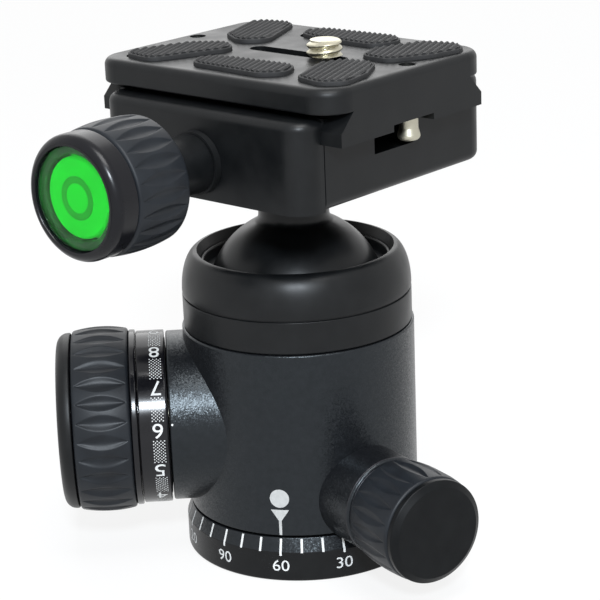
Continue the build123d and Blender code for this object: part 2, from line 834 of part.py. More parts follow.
def make_clamp_jaw():
    jaw = rounded_block(-jaw_face, -jaw_outer)
    lip_floor = clamp_floor + seat_gap
    jaw += block(-clamp_half_length, clamp_half_length, -jaw_face, jaw_lip - jaw_face, lip_floor, jaw_top)
    jaw -= dovetail_prism(dovetail_play, far)
    jaw -= knob_rod(clamp_screw_radius + slide_gap, 0, far)
    for side in (-1, 1):
        jaw -= Pos(side * guide_pin_offset, 0, 0) * knob_rod(guide_pin_radius + run_gap, 0, guide_hole_end)
    return jaw


def make_mount_screw():
    top = clamp_floor - mount_screw_sink
    head = rod(mount_screw_head_radius, top - mount_screw_head_height, top)
    shank = rod(mount_screw_radius, neck_top - mount_screw_depth + seat_gap, top - mount_screw_head_height)
    return head + shank - hexagon_socket(mount_screw_hexagon, top - mount_screw_socket, far)


def make_guide_pin():
    return knob_rod(guide_pin_radius, guide_pin_start, guide_pin_end)


def make_jaw_spring():
    """Compression spring in the body that pushes the jaw open, as a stack of wire rings."""
    low = clamp_split - spring_pocket_depth + spring_wire_radius
    pitch = (spring_pocket_depth - 2 * spring_wire_radius) / (spring_turns - 1)
    helix = Helix(pitch, pitch * (spring_turns - 1), spring_radius)
    start = Plane(origin=helix @ 0, z_dir=helix % 0)
    wire = sweep(start * Circle(spring_wire_radius), path=helix)
    return KNOB_IN_CLAMP * Pos(0, 0, low) * wire


# ---------------------------------------------------------------- clamp knob
def make_knob_washer():
    low = jaw_outer + slide_gap
    return KNOB * tube(washer_radius, clamp_screw_radius + slide_gap, low, low + washer_thickness)


def make_clamp_hub():
    skirt = clamp_grip_end_radius - clamp_skirt_step
    skirt_start = clamp_knob_start - clamp_skirt_flat
    hub = turned(
        (clamp_screw_radius, clamp_neck_start),
        (clamp_neck_radius, clamp_neck_start),
        (clamp_neck_radius, skirt_start - clamp_skirt_slope),
        (skirt, skirt_start),
        (skirt, clamp_knob_start),
        (clamp_hub_radius, clamp_knob_start),
        (clamp_hub_radius, clamp_grip_end),
        (clamp_screw_radius, clamp_grip_end),
    )
    return KNOB * hub


def make_clamp_grip():
    return KNOB * fluted_grip(
        clamp_knob_start,
        clamp_grip_end,
        clamp_grip_end_radius,
        bezel_radius + clamp_grip_belly_swell,
        clamp_grip_end_radius,
        clamp_hub_radius + run_gap,
        clamp_flutes,
        clamp_flute_width,
        clamp_flute_depth,
    )


def make_bezel():
    shoulder = bezel_end - bezel_rounding
    face = bezel_radius - bezel_rounding
    well = level_radius + run_gap
    outline = [
        Line((0, bezel_start), (bezel_radius - edge_break, bezel_start)),
        Line((bezel_radius - edge_break, bezel_start), (bezel_radius, bezel_start + edge_break)),
        Line((bezel_radius, bezel_start + edge_break), (bezel_radius, shoulder)),
        RadiusArc((bezel_radius, shoulder), (face, bezel_end), -bezel_rounding),
        Line((face, bezel_end), (well, bezel_end)),
        Line((well, bezel_end), (well, level_floor)),
        Line((well, level_floor), (0, level_floor)),
        Line((0, level_floor), (0, bezel_start)),
    ]
    return KNOB * revolve(Plane.XZ * make_face(outline), Axis.Z)


def make_level_vial():
    return KNOB * rod(level_radius, level_floor + run_gap, lens_start)


def make_level_lens():
    lens_end = lens_start + lens_thickness
    lens = turned(
        (0, lens_start + run_gap),
        (level_radius, lens_start + run_gap),
        (level_radius, lens_start + lens_edge),
        (level_radius - lens_bevel, lens_end),
        (0, lens_end),
    )
    return KNOB * lens


def make_clamp_screw():
    return KNOB * rod(clamp_screw_radius, clamp_screw_tip, clamp_grip_end)


# ---------------------------------------------------------------- plate
def leaf(corners):
    """Pad outline: straight runs between the corners, with every corner rounded."""
    face = make_face(Polyline(*corners, close=True))
    return fillet(face.vertices(), pad_corner_radius)


def pad_outlines():
    """Corners of the six pads in the clamp's frame, each pair mirrored across the rail."""
    outlines = []
    for shares in (left_pad_shares, middle_pad_shares, right_pad_shares):
        for side in (1, -1):
            corners = [
                (plate_offset + along * plate_half_length, side * across * plate_half_width)
                for along, across in shares
            ]
            outlines.append(corners)
    return outlines


def pad_solid(corners):
    """A pad's flat body, from its seat in the plate to its top."""
    return Pos(0, 0, pad_base) * extrude(leaf(corners), pad_seat_depth + pad_height)


def make_quick_plate():
    start = plate_offset - plate_half_length
    end = plate_offset + plate_half_length
    slab = block(start, end, -plate_half_width, plate_half_width, slab_underside, plate_top)
    slab = fillet(slab.edges().filter_by(Axis.Z), plate_corner_radius)
    slab = fillet(slab.faces().sort_by(Axis.Z)[-1].edges(), plate_edge_fillet)
    slab = fillet(slab.faces().sort_by(Axis.Z)[0].edges(), plate_lower_fillet)
    tail = Pos(plate_offset, 0, 0) * dovetail_prism(0, plate_half_length)
    plate = slab + Pos(0, 0, run_gap) * tail
    groove_top = clamp_floor + plate_groove_depth
    plate -= block(-far, far, -plate_groove_half_width, plate_groove_half_width, 0, groove_top)
    plate -= slotted(head_channel_start, head_channel_end, head_channel_half_width, 0, head_channel_floor)
    plate -= slotted(slot_start, slot_end, slot_half_width, 0, far)
    for place in stop_screw_places:
        plate -= Pos(place, -stop_screw_side, 0) * rod(stop_screw_radius, 0, far)
    for corners in pad_outlines():
        plate -= pad_solid(corners)
    return plate


def slotted(start, end, half_width, low, high):
    """Round-ended slot along the rail."""
    slot = block(start + half_width, end - half_width, -half_width, half_width, low, high)
    slot += Pos(start + half_width, 0, 0) * rod(half_width, low, high)
    slot += Pos(end - half_width, 0, 0) * rod(half_width, low, high)
    return slot


def make_stop_screw(place):
    """Screw up into the plate, its tapered head below the dovetail to stop it in the clamp's pocket."""
    head_bottom = clamp_floor - stop_screw_reach
    head_top_height = head_bottom + stop_screw_head_height
    head = turned(
        (0, head_bottom),
        (stop_screw_head_radius, head_bottom),
        (stop_screw_collar_radius, head_top_height),
        (0, head_top_height),
    )
    head = fillet(head.edges().sort_by(Axis.Z)[0], stop_screw_rounding)
    collar = rod(stop_screw_collar_radius, head_top_height, clamp_floor + plate_groove_depth)
    thread = rod(stop_screw_radius, clamp_floor, plate_top - stop_screw_recess)
    return Pos(place, -stop_screw_side, 0) * (head + collar + thread)


# ---------------------------------------------------------------- camera screw
def make_camera_screw():
    collar_height = plate_top + screw_collar_gap
    screw = turned(
        (0, screw_head_bottom),
        (screw_head_radius - screw_head_edge, screw_head_bottom),
        (screw_head_radius, screw_head_bottom + screw_head_edge),
        (screw_head_radius, head_top),
        (screw_neck_radius, head_top),
        (screw_neck_radius, collar_height),
        (screw_thread_radius, collar_height + edge_break),
        (screw_thread_radius, screw_top - screw_chamfer),
        (screw_thread_radius - screw_chamfer, screw_top),
        (0, screw_top),
    )
    half_slot = coin_slot_width / 2
    coin_slot = block(-far, far, -half_slot, half_slot, 0, screw_head_bottom + coin_slot_depth)
    return Pos(screw_place, 0, 0) * (screw - coin_slot)


def make_screw_retainer():
    """Spring clip round the screw's neck, in a step under the slot."""
    top = retainer_bottom + retainer_thickness
    ring = tube(retainer_radius, screw_neck_radius + run_gap, retainer_bottom, top)
    mouth = block(0, far, -retainer_mouth / 2, retainer_mouth / 2, 0, far)
    return Pos(screw_place, 0, 0) * (ring - mouth)


# ---------------------------------------------------------------- write every node
def build():
    os.makedirs("parts", exist_ok=True)
    save(make_base_disc(), "base_disc")
    save(make_pan_spindle(), "pan_spindle")
    base_screw = make_base_screw()
    screw_places = around(base_screw_count, base_screw_circle)
    save(joined([place * base_screw for place in screw_places]), "base_screws")

    save(make_housing(), "housing")
    save(make_retaining_collar(), "retaining_collar")
    save(make_upper_race(), "upper_race")
    save(make_pan_ring(), "pan_retaining_ring")
    ring_screw = make_ring_screw()
    ring_places = around(ring_screw_count, ring_screw_circle, ring_screw_phase)
    save(joined([place * ring_screw for place in ring_places]), "pan_ring_screws")
    save(make_thrust_washer(), "pan_thrust_washer")
    save(make_main_bush(), "main_knob_bush")
    save(make_lower_seat(), "lower_seat")
    save(make_wedge_foot(), "seat_wedge")
    save(make_lock_plunger(), "lock_plunger")

    save(make_main_hub(), "main_knob_hub")
    save(make_main_scale_ring(), "main_scale_ring")
    save(make_main_grip(), "main_knob_grip")
    save(make_main_cap(), "main_knob_cap")
    save(make_main_lock_shaft(), "main_lock_shaft")
    save(make_hub_screw(), "main_hub_screw")

    save(make_pan_hub(), "pan_knob_hub")
    save(make_pan_grip(), "pan_knob_grip")
    save(make_pan_cap(), "pan_knob_cap")
    save(make_pan_screw(), "pan_lock_screw")
    save(make_pan_pad(), "pan_lock_pad")

    save(make_ball(), "ball")
    save(CLAMP * make_clamp_base(), "clamp_base")
    save(CLAMP * make_mount_screw(), "clamp_mount_screw")
    pin_places = [Pos(side * guide_pin_offset, 0, 0) for side in (-1, 1)]
    save(joined([CLAMP * place * make_guide_pin() for place in pin_places]), "jaw_guide_pins")
    save(joined([CLAMP * place * make_jaw_spring() for place in pin_places]), "jaw_springs")
    save(CLAMP * make_clamp_jaw(), "clamp_jaw")
    save(make_knob_washer(), "clamp_knob_washer")

    save(make_clamp_hub(), "clamp_knob_hub")
    save(make_clamp_grip(), "clamp_knob_grip")
    save(make_bezel(), "level_bezel")
    save(make_level_vial(), "level_vial")
    save(make_level_lens(), "level_lens")
    save(make_clamp_screw(), "clamp_screw")

    save(CLAMP * make_quick_plate(), "quick_plate")
    for index, corners in enumerate(pad_outlines(), start=1):
        save(CLAMP * pad_solid(corners), f"plate_pad_{index}")
    save(joined([CLAMP * make_stop_screw(place) for place in stop_screw_places]), "plate_stop_screws")
    save(CLAMP * make_screw_retainer(), "screw_retainer")
    save(CLAMP * make_camera_screw(), "camera_screw")


build()
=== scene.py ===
from math import atan2, cos, hypot, pi, radians, sin, sqrt, tan

import bmesh
import bpy
from mathutils import Matrix, Vector


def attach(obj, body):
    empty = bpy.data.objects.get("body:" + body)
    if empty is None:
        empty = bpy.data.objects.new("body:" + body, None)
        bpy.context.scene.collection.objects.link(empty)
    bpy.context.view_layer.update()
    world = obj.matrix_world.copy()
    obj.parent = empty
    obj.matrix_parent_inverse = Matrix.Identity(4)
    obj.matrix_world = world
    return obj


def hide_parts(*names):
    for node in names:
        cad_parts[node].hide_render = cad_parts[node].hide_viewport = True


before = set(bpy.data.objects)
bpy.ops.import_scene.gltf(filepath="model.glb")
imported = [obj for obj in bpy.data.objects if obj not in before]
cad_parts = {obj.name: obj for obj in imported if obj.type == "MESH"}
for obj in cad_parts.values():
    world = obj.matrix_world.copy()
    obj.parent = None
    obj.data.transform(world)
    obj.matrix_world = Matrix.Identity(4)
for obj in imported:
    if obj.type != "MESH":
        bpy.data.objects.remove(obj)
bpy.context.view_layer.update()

MM = 0.001

# ---- sizes, in millimetres
# azimuths are in degrees, anticlockwise seen from above
ball_height = 47.4
rail_azimuth = -44.9
main_knob_height = 25.5
main_knob_azimuth = 180.0
pan_knob_height = 14.95
pan_knob_azimuth = -61.2
clamp_knob_height = 30.7  # above the ball's centre

paint_lift = 0.025  # how far printed marks stand off the surface
running_gap = 0.05  # between pieces that fit over each other
past = 1.0  # how far a short cutter runs past the face that it opens
far = 60.0  # reach of a cutter past everything it cuts
below = -20.0  # height under everything

# sides of the turned pieces
facets = 224
shell_facets = 256
boss_facets = 192
cap_facets = 160
hub_facets = 128
bore_facets = 96
screw_facets = 64


# ---- frames of the turned pieces
def outward_frame(azimuth, height):
    """Local Z points outward at this azimuth and local X points up."""
    z_axis = Vector((cos(radians(azimuth)), sin(radians(azimuth)), 0))
    x_axis = Vector((0, 0, 1))
    y_axis = z_axis.cross(x_axis)
    turn = Matrix((x_axis, y_axis, z_axis)).transposed().to_4x4()
    return Matrix.Translation((0, 0, height)) @ turn


UPRIGHT = Matrix.Identity(4)
MAIN = outward_frame(main_knob_azimuth, main_knob_height)
PAN = outward_frame(pan_knob_azimuth, pan_knob_height)
CLAMP = Matrix.Translation((0, 0, ball_height)) @ Matrix.Rotation(radians(rail_azimuth), 4, "Z")
KNOB = outward_frame(rail_azimuth - 90, ball_height + clamp_knob_height)
AT_BALL = Matrix.Translation((0, 0, ball_height))


# ---- mesh helpers
def piece(name, verts, faces, place, body, slot, material, sharp=30):
    """New mesh object from millimetre points in a local frame, smooth but for its sharp edges."""
    mesh = bpy.data.meshes.new(name)
    mesh.from_pydata([tuple(v) for v in verts], [], faces)
    mesh.validate()
    obj = add_object(name, mesh)
    mesh.transform(Matrix.Scale(MM, 4) @ place)
    smooth(obj, sharp)
    obj.data.materials.append(material)
    if body:
        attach(obj, body)
    return obj


def add_object(name, data):
    obj = bpy.data.objects.new(name, data)
    bpy.context.scene.collection.objects.link(obj)
    return obj


def smooth(obj, sharp=30):
    obj.data.shade_smooth()
    obj.data.set_sharp_from_angle(angle=radians(sharp))


def rounded(corners, steps=6):
    """Outline from (x, y) or (x, y, radius) corners, with each radius laid in as an arc."""
    outline = []
    count = len(corners)
    for i, corner in enumerate(corners):
        here = Vector(corner[:2])
        radius = corner[2] if len(corner) > 2 else 0
        before = Vector(corners[i - 1][:2]) - here
        after = Vector(corners[(i + 1) % count][:2]) - here
        if radius == 0:
            outline.append(here)
            continue
        outline += arc_between(here, before.normalized(), after.normalized(), radius, steps)
    return [(p.x, p.y) for p in outline]


def arc_between(corner, before, after, radius, steps):
    """Points of the fillet arc that touches the two directions leaving a corner."""
    half = before.angle(after) / 2
    middle = corner + (before + after).normalized() * radius / sin(half)
    start = corner + before * radius / tan(half)
    end = corner + after * radius / tan(half)
    first = start - middle
    last = end - middle
    sweep = first.angle_signed(last)
    points = []
    for k in range(steps + 1):
        spin = Matrix.Rotation(-sweep * k / steps, 2)
        points.append(middle + spin @ first)
    return points


def braced(outline, margin=0.06):
    """Adds a point near both ends of each long straight stretch, which keeps its shading flat."""
    points = []
    for here, after in zip(outline, outline[1:] + outline[:1]):
        points.append(here)
        run = Vector(after) - Vector(here)
        if run.length > 8 * margin:
            step = run.normalized() * margin
            points += [tuple(Vector(here) + step), tuple(Vector(after) - step)]
    return points


def circle(radius, sides):
    return [(radius * cos(2 * pi * k / sides), radius * sin(2 * pi * k / sides)) for k in range(sides)]


def lathe(name, outline, place, body, slot, material, sides=facets):
    """Closed outline of (radius, height) turned about local Z; a radius of 0 closes on the axis."""
    verts = []
    rings = []
    for radius, height in braced(outline):
        spots = circle(radius, sides) if radius > 0 else [(0, 0)]
        rings.append(list(range(len(verts), len(verts) + len(spots))))
        verts += [(x, y, height) for x, y in spots]
    return piece(name, verts, bands(rings + rings[:1]), place, body, slot, material)


def band(lower, upper):
    """Faces between two rings, or between a ring and a point on the axis."""
    if len(lower) == 1 and len(upper) == 1:
        return []
    count = max(len(lower), len(upper))
    faces = []
    for k in range(count):
        n = (k + 1) % count
        if len(lower) == 1:
            faces.append((lower[0], upper[n], upper[k]))
        elif len(upper) == 1:
            faces.append((lower[k], lower[n], upper[0]))
        else:
            faces.append((lower[k], lower[n], upper[n], upper[k]))
    return faces


def bands(rings):
    """Faces between each ring and the next."""
    return [face for lower, upper in zip(rings, rings[1:]) for face in band(lower, upper)]


def even_rings(count, size):
    """Numbers of the points in rings that are all of one size."""
    return [list(range(i * size, (i + 1) * size)) for i in range(count)]


def prism(outline, low, high):
    """Vertices and faces of an outline in local XY, extruded along Z."""
    count = len(outline)
    verts = [(x, y, low) for x, y in outline] + [(x, y, high) for x, y in outline]
    faces = [tuple(range(count - 1, -1, -1)), tuple(range(count, 2 * count))]
    for k in range(count):
        n = (k + 1) % count
        faces.append((k, n, n + count, k + count))
    return verts, faces


def cutter(verts, faces, place):
    """Throw-away object for a boolean."""
    obj = piece("cutter", verts, faces, place, None, None, PLAIN)
    face_outwards(obj)
    return obj


def bore(obj, radius, low, high, place, sides=bore_facets):
    """Cuts a round hole along local Z."""
    combine(obj, cutter(*prism(circle(radius, sides), low, high), place))


def cut_box(obj, half_x, half_y, low, high, place):
    """Cuts a box away that is centred on local Z."""
    outline = [(-half_x, -half_y), (half_x, -half_y), (half_x, half_y), (-half_x, half_y)]
    combine(obj, cutter(*prism(outline, low, high), place))


def face_outwards(obj):
    bm = bmesh.new()
    bm.from_mesh(obj.data)
    bmesh.ops.recalc_face_normals(bm, faces=bm.faces)
    bm.to_mesh(obj.data)
    bm.free()


def combine(obj, other, operation="DIFFERENCE", sharp=30):
    """Applies a boolean with another object, which is then removed."""
    modifier = obj.modifiers.new("combine", "BOOLEAN")
    modifier.operation = operation
    modifier.solver = "EXACT"
    modifier.object = other
    depsgraph = bpy.context.evaluated_depsgraph_get()
    mesh = bpy.data.meshes.new_from_object(obj.evaluated_get(depsgraph))
    obj.modifiers.remove(modifier)
    old = obj.data
    obj.data = mesh
    bpy.data.meshes.remove(old)
    bpy.data.objects.remove(other)
    smooth(obj, sharp)


# ---- material helpers
noise_low = 0.3  # most of a noise texture's values lie between these two
noise_high = 0.7


def new_material(name, color, roughness, metallic=0.0, specular=0.22):
    """Material with plain values; specular is low, as these blacks are deep."""
    material = bpy.data.materials.new(name)
    material.use_nodes = True
    set_inputs(shader_of(material), Base_Color=(*color, 1), Roughness=roughness, Metallic=metallic,
               Specular_IOR_Level=specular)
    return material


def shader_of(material):
    return material.node_tree.nodes["Principled BSDF"]


def set_inputs(node, **inputs):
    """Sets plain values; an underscore in a name stands for a space."""
    for name, value in inputs.items():
        node.inputs[name.replace("_", " ")].default_value = value


def add_node(material, kind, **inputs):
    node = material.node_tree.nodes.new(kind)
    set_inputs(node, **inputs)
    return node


def add_texture(material, kind, scale, **inputs):
    """Texture laid on the object, at a scale given in cells per metre."""
    place = add_node(material, "ShaderNodeTexCoord")
    texture = add_node(material, kind, Scale=scale, **inputs)
    link(material, place, "Object", texture, "Vector")
    return texture


def feed(material, node, *sources):
    """Links outputs, each given as a node and a name, to a node's inputs in their order."""
    for socket, (source, output) in enumerate(sources):
        link(material, source, output, node, socket)


def maths(material, kind, operation, *sources):
    node = add_node(material, kind)
    node.operation = operation
    feed(material, node, *sources)
    return node


def link(material, source, output, target, socket):
    material.node_tree.links.new(source.outputs[output], target.inputs[socket])


def fine_bump(material, scale, strength, distance):
    """Fine grain; the distance is in metres."""
    grain = add_texture(material, "ShaderNodeTexNoise", scale, Detail=2.0, Roughness=0.6)
    bump = add_node(material, "ShaderNodeBump", Strength=strength, Distance=distance)
    link(material, grain, "Fac", bump, "Height")
    link(material, bump, "Normal", shader_of(material), "Normal")


def vary_roughness(material, scale, low, high):
    """Slow change of roughness, as handling leaves on a finish."""
    noise = add_texture(material, "ShaderNodeTexNoise", scale, Detail=3.0)
    spread = add_node(material, "ShaderNodeMapRange",
                      From_Min=noise_low, From_Max=noise_high, To_Min=low, To_Max=high)
    link(material, noise, "Fac", spread, "Value")
    link(material, spread, "Result", shader_of(material), "Roughness")


def vary_color(material, scale, dark, light):
    """Slow change between two shades, in place of one even colour."""
    noise = add_texture(material, "ShaderNodeTexNoise", scale, Detail=4.0)
    ramp = add_node(material, "ShaderNodeValToRGB")
    stops = ((noise_low, dark), (noise_high, light))
    for element, (position, color) in zip(ramp.color_ramp.elements, stops):
        element.position = position
        element.color = (*color, 1)
    link(material, noise, "Fac", ramp, "Fac")
    link(material, ramp, "Color", shader_of(material), "Base Color")


# ---- materials
flake_scale = 5200.0  # flakes per metre
flake_tilt = 0.16  # how far a flake's normal leans


def powder_coat():
    """Black coat with fine flakes, each of which leans its own way and glints."""
    material = new_material("powder_coat", (0.0055, 0.006, 0.007), 0.3, specular=0.35)
    set_inputs(shader_of(material), Specular_Tint=(0.84, 0.94, 1.0, 1))
    surface = add_node(material, "ShaderNodeNewGeometry")
    flakes = add_texture(material, "ShaderNodeTexVoronoi", flake_scale)
    centred = maths(material, "ShaderNodeVectorMath", "SUBTRACT", (flakes, "Color"))
    centred.inputs[1].default_value = (0.5, 0.5, 0.5)
    tilt = maths(material, "ShaderNodeVectorMath", "SCALE", (centred, "Vector"))
    tilt.inputs["Scale"].default_value = flake_tilt
    leaning = maths(material, "ShaderNodeVectorMath", "ADD", (tilt, "Vector"), (surface, "Normal"))
    unit = maths(material, "ShaderNodeVectorMath", "NORMALIZE", (leaning, "Vector"))
    link(material, unit, "Vector", shader_of(material), "Normal")
    vary_color(material, scale=900.0, dark=(0.004, 0.0045, 0.0055), light=(0.007, 0.0075, 0.009))
    return material


def satin(name="satin_anodised", roughness=0.4, specular=0.24):
    material = new_material(name, (0.0045, 0.005, 0.0055), roughness, specular=specular)
    fine_bump(material, scale=5200.0, strength=0.25, distance=0.00003)
    vary_roughness(material, scale=160.0, low=roughness - 0.06, high=roughness + 0.06)
    vary_color(material, scale=320.0, dark=(0.0035, 0.004, 0.0045), light=(0.0055, 0.006, 0.0065))
    return material


def gloss(name="gloss_anodised", roughness=0.17, specular=0.35):
    material = new_material(name, (0.004, 0.004, 0.0055), roughness, specular=specular)
    fine_bump(material, scale=2600.0, strength=0.06, distance=0.00002)
    vary_roughness(material, scale=240.0, low=roughness - 0.03, high=roughness + 0.04)
    return material


def bare_metal(name, color, roughness):
    material = new_material(name, color, roughness, metallic=1.0)
    fine_bump(material, scale=4000.0, strength=0.08, distance=0.00003)
    vary_roughness(material, scale=500.0, low=roughness * 0.8, high=roughness * 1.3)
    return material


def white_paint(name="white_paint", shade=0.62):
    material = new_material(name, off_white(shade), 0.55)
    fine_bump(material, scale=6000.0, strength=0.2, distance=0.00002)
    vary_color(material, scale=1200.0, dark=off_white(shade * 0.93), light=off_white(shade * 1.07))
    return material


def off_white(shade):
    return shade, shade, shade * 0.98


PLAIN = new_material("unseen", (0.5, 0.5, 0.5), 0.5)  # for cutters, which are removed again
COAT = powder_coat()
SATIN = satin()
COLLAR_SATIN = satin("collar_satin", roughness=0.36)
BALL_SATIN = satin("ball_satin", roughness=0.33)
GLOSS = gloss()
BEZEL_GLOSS = gloss("bezel_gloss", roughness=0.25, specular=0.24)
CAP_SATIN = satin("cap_satin", roughness=0.38, specular=0.12)
BASE_SATIN = satin("base_satin", roughness=0.3, specular=0.2)
BRIGHT = bare_metal("bright_steel", (0.50, 0.48, 0.39), 0.38)
SCREW_STEEL = bare_metal("camera_screw_steel", (0.50, 0.475, 0.37), 0.3)
DARK_STEEL = bare_metal("dark_steel", (0.05, 0.05, 0.055), 0.4)
BARE_EDGE = bare_metal("machined_edge", (0.045, 0.045, 0.05), 0.4)
BRASS = bare_metal("brass", (0.62, 0.45, 0.2), 0.35)
PLASTIC = satin("black_plastic", roughness=0.55)
WHITE = white_paint()
INDEX_WHITE = white_paint("index_paint", shade=0.42)

RUBBER = new_material("grip_rubber", (0.009, 0.011, 0.014), 0.42)
fine_bump(RUBBER, scale=3000.0, strength=0.3, distance=0.00004)
vary_roughness(RUBBER, scale=200.0, low=0.36, high=0.48)
vary_color(RUBBER, scale=260.0, dark=(0.008, 0.0095, 0.012), light=(0.012, 0.0145, 0.018))

PAD = new_material("pad_rubber", (0.0125, 0.0125, 0.013), 0.7, specular=0.35)
fine_bump(PAD, scale=3400.0, strength=0.45, distance=0.00006)
vary_color(PAD, scale=420.0, dark=(0.010, 0.010, 0.0105), light=(0.018, 0.018, 0.0185))

# fluid, with a faint glow of its own for the light that the wall throws back into it
GREEN = new_material("level_green", (0.004, 0.5, 0.02), 0.5, specular=0.1)
set_inputs(shader_of(GREEN), Emission_Color=(0.002, 0.5, 0.02, 1), Emission_Strength=0.35)
vary_color(GREEN, scale=90.0, dark=(0.003, 0.44, 0.02), light=(0.006, 0.56, 0.03))

# the level's wall, seen edge on
GREEN_SHADE = new_material("level_shade", (0.010, 0.075, 0.016), 0.2)
vary_color(GREEN_SHADE, scale=300.0, dark=(0.006, 0.045, 0.010), light=(0.015, 0.11, 0.022))

# the ring that the bubble is read against
GREEN_RING = new_material("level_ring_green", (0.008, 0.33, 0.02), 0.5, specular=0.1)
vary_color(GREEN_RING, scale=400.0, dark=(0.006, 0.29, 0.018), light=(0.012, 0.37, 0.024))

LENS = new_material("clear_lens", (0.75, 1.0, 0.8), 0.03)
set_inputs(shader_of(LENS), Transmission_Weight=1.0, IOR=1.2)
fine_bump(LENS, scale=300.0, strength=0.02, distance=0.00002)

bright_nodes = (
    "pan_spindle", "seat_wedge", "lock_plunger", "main_lock_shaft", "pan_lock_screw", "jaw_guide_pins",
    "jaw_springs", "clamp_screw", "screw_retainer",
)
dark_nodes = ("base_screws", "pan_ring_screws", "main_hub_screw", "clamp_mount_screw")
plastic_nodes = ("pan_thrust_washer", "upper_race", "lower_seat", "clamp_knob_washer")
node_materials = {
    **dict.fromkeys(bright_nodes, BRIGHT),
    **dict.fromkeys(dark_nodes, DARK_STEEL),
    **dict.fromkeys(plastic_nodes, PLASTIC),
    **dict.fromkeys(("main_knob_bush", "pan_lock_pad"), BRASS),
}


def dress_nodes():
    """Gives the part's own nodes their materials, satin black where no other is named."""
    for name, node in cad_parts.items():
        material = node_materials.get(name, SATIN)
        for place in node.material_slots:
            place.material = material


# ---- marks printed on round faces
glyph_size = 5.0  # at which digits are drawn before they are fitted to their place
glyph_slices = 14  # squares along a digit's size


def glyph_mesh(text):
    """Points and faces of some digits, flat and cut small, in millimetres."""
    curve = bpy.data.curves.new("glyph", "FONT")
    curve.body = text
    curve.size = glyph_size
    curve.align_x = "CENTER"
    curve.align_y = "CENTER"
    curve.resolution_u = 4
    holder = add_object("glyph", curve)
    bpy.context.view_layer.update()
    mesh = bpy.data.meshes.new_from_object(holder)
    slice_flat(mesh, glyph_size / glyph_slices)
    verts = [v.co.copy() for v in mesh.vertices]
    faces = [tuple(p.vertices) for p in mesh.polygons]
    bpy.data.objects.remove(holder)
    bpy.data.meshes.remove(mesh)
    return verts, faces


def slice_flat(mesh, step):
    """Cuts a flat mesh into small squares, so that it can follow a curved face."""
    bm = bmesh.new()
    bm.from_mesh(mesh)
    for axis in (Vector((1, 0, 0)), Vector((0, 1, 0))):
        reach = [v.co.dot(axis) for v in bm.verts]
        cuts = int((max(reach) - min(reach)) / step)
        for k in range(1, cuts + 1):
            everything = bm.verts[:] + bm.edges[:] + bm.faces[:]
            level = axis * (min(reach) + k * step)
            bmesh.ops.bisect_plane(bm, geom=everything, plane_co=level, plane_no=axis)
    bm.to_mesh(mesh)
    bm.free()


def fitted_glyph(text, width, height):
    """Digits stretched to an exact width and height about the origin."""
    verts, faces = glyph_mesh(text)
    xs = [v.x for v in verts]
    ys = [v.y for v in verts]
    across = width / (max(xs) - min(xs))
    up = height / (max(ys) - min(ys))
    x_mid = (min(xs) + max(xs)) / 2
    y_mid = (min(ys) + max(ys)) / 2
    return [((x - x_mid) * across, (y - y_mid) * up) for x, y in zip(xs, ys)], faces


class Print:
    """Flat marks gathered into one mesh, each point laid on a turned surface."""

    def __init__(self, surface):
        self.surface = surface
        self.verts = []
        self.faces = []

    def add(self, points, faces, angle, height, turned=False):
        """Points are (along, up) in mm about a place; turned marks stand on their heads."""
        start = len(self.verts)
        sign = -1 if turned else 1
        for along, up in points:
            self.verts.append(self.surface(angle, height, sign * along, sign * up))
        self.faces += [tuple(start + i for i in face) for face in faces]

    def bar(self, width, length, angle, top):
        """Upright bar that hangs from the given height, cut into short pieces."""
        rows = 5
        points = []
        for k in range(rows + 1):
            up = -length * k / rows
            points += [(-width / 2, up), (width / 2, up)]
        faces = [(2 * k, 2 * k + 2, 2 * k + 3, 2 * k + 1) for k in range(rows)]
        self.add(points, faces, angle, top)

    def make(self, name, place, body, slot, material):
        return piece(name, self.verts, self.faces, place, body, slot, material)


# ---- panning base
base_radius = 22.5
base_wall_top = 5.7
bevel_radius = 21.5
base_top = 8.25
spindle_seat_radius = 9.05
spindle_seat = 6.0  # floor of the seat
tripod_bore = 3.97
base_screw_places = circle(7.0, 3)
base_screw_bores = ((1.3, spindle_seat + past), (2.5, 1.8))  # (radius, top) for the shank and the head
scale_zero_azimuth = -45.55  # where the scale's 0 mark stands; values grow clockwise from above
scale_step = 10
numbered_step = 30
mark_width = 0.42
mark_length = 2.4
long_mark_length = 3.0
mark_top = base_top - 0.15
number_middle = 3.15  # height of the numbers' middle
number_width = 1.55
number_height = 2.15  # of one digit, like the width


def on_wall(radius, angle, height, along, up):
    """Point on an upright round wall; along runs anticlockwise seen from above."""
    radius += paint_lift
    turn = radians(angle) + along / radius
    return radius * cos(turn), radius * sin(turn), height + up


def on_base(angle, height, along, up):
    """Point on the base's wall or, above it, on the scale bevel."""
    share = max(0, (height + up - base_wall_top) / (base_top - base_wall_top))
    return on_wall(base_radius + (bevel_radius - base_radius) * share, angle, height, along, up)


def base_piece():
    outline = rounded([
        (0, 0), (base_radius, 0, 0.5), (base_radius, base_wall_top, 0.3),
        (bevel_radius, base_top, 0.15), (spindle_seat_radius, base_top),
        (spindle_seat_radius, spindle_seat), (0, spindle_seat),
    ])
    disc = lathe("base_body", outline, UPRIGHT, "base", "black_anodised", BASE_SATIN)
    face_outwards(disc)
    bore(disc, tripod_bore, -past, spindle_seat + past, UPRIGHT)
    for x, y in base_screw_places:
        for radius, top in base_screw_bores:
            bore(disc, radius, -past, top, Matrix.Translation((x, y, 0)))
    dress_bevel(disc)
    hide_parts("base_disc")


def dress_bevel(disc):
    """Gives the scale bevel the coarser coat, which glints more than the wall below it."""
    disc.data.materials.append(COAT)
    bevel_low = base_wall_top + 0.1
    bevel_inner = bevel_radius - 0.3
    for face in disc.data.polygons:
        middle = face.center / MM
        if middle.z > bevel_low and hypot(middle.x, middle.y) > bevel_inner:
            face.material_index = 1


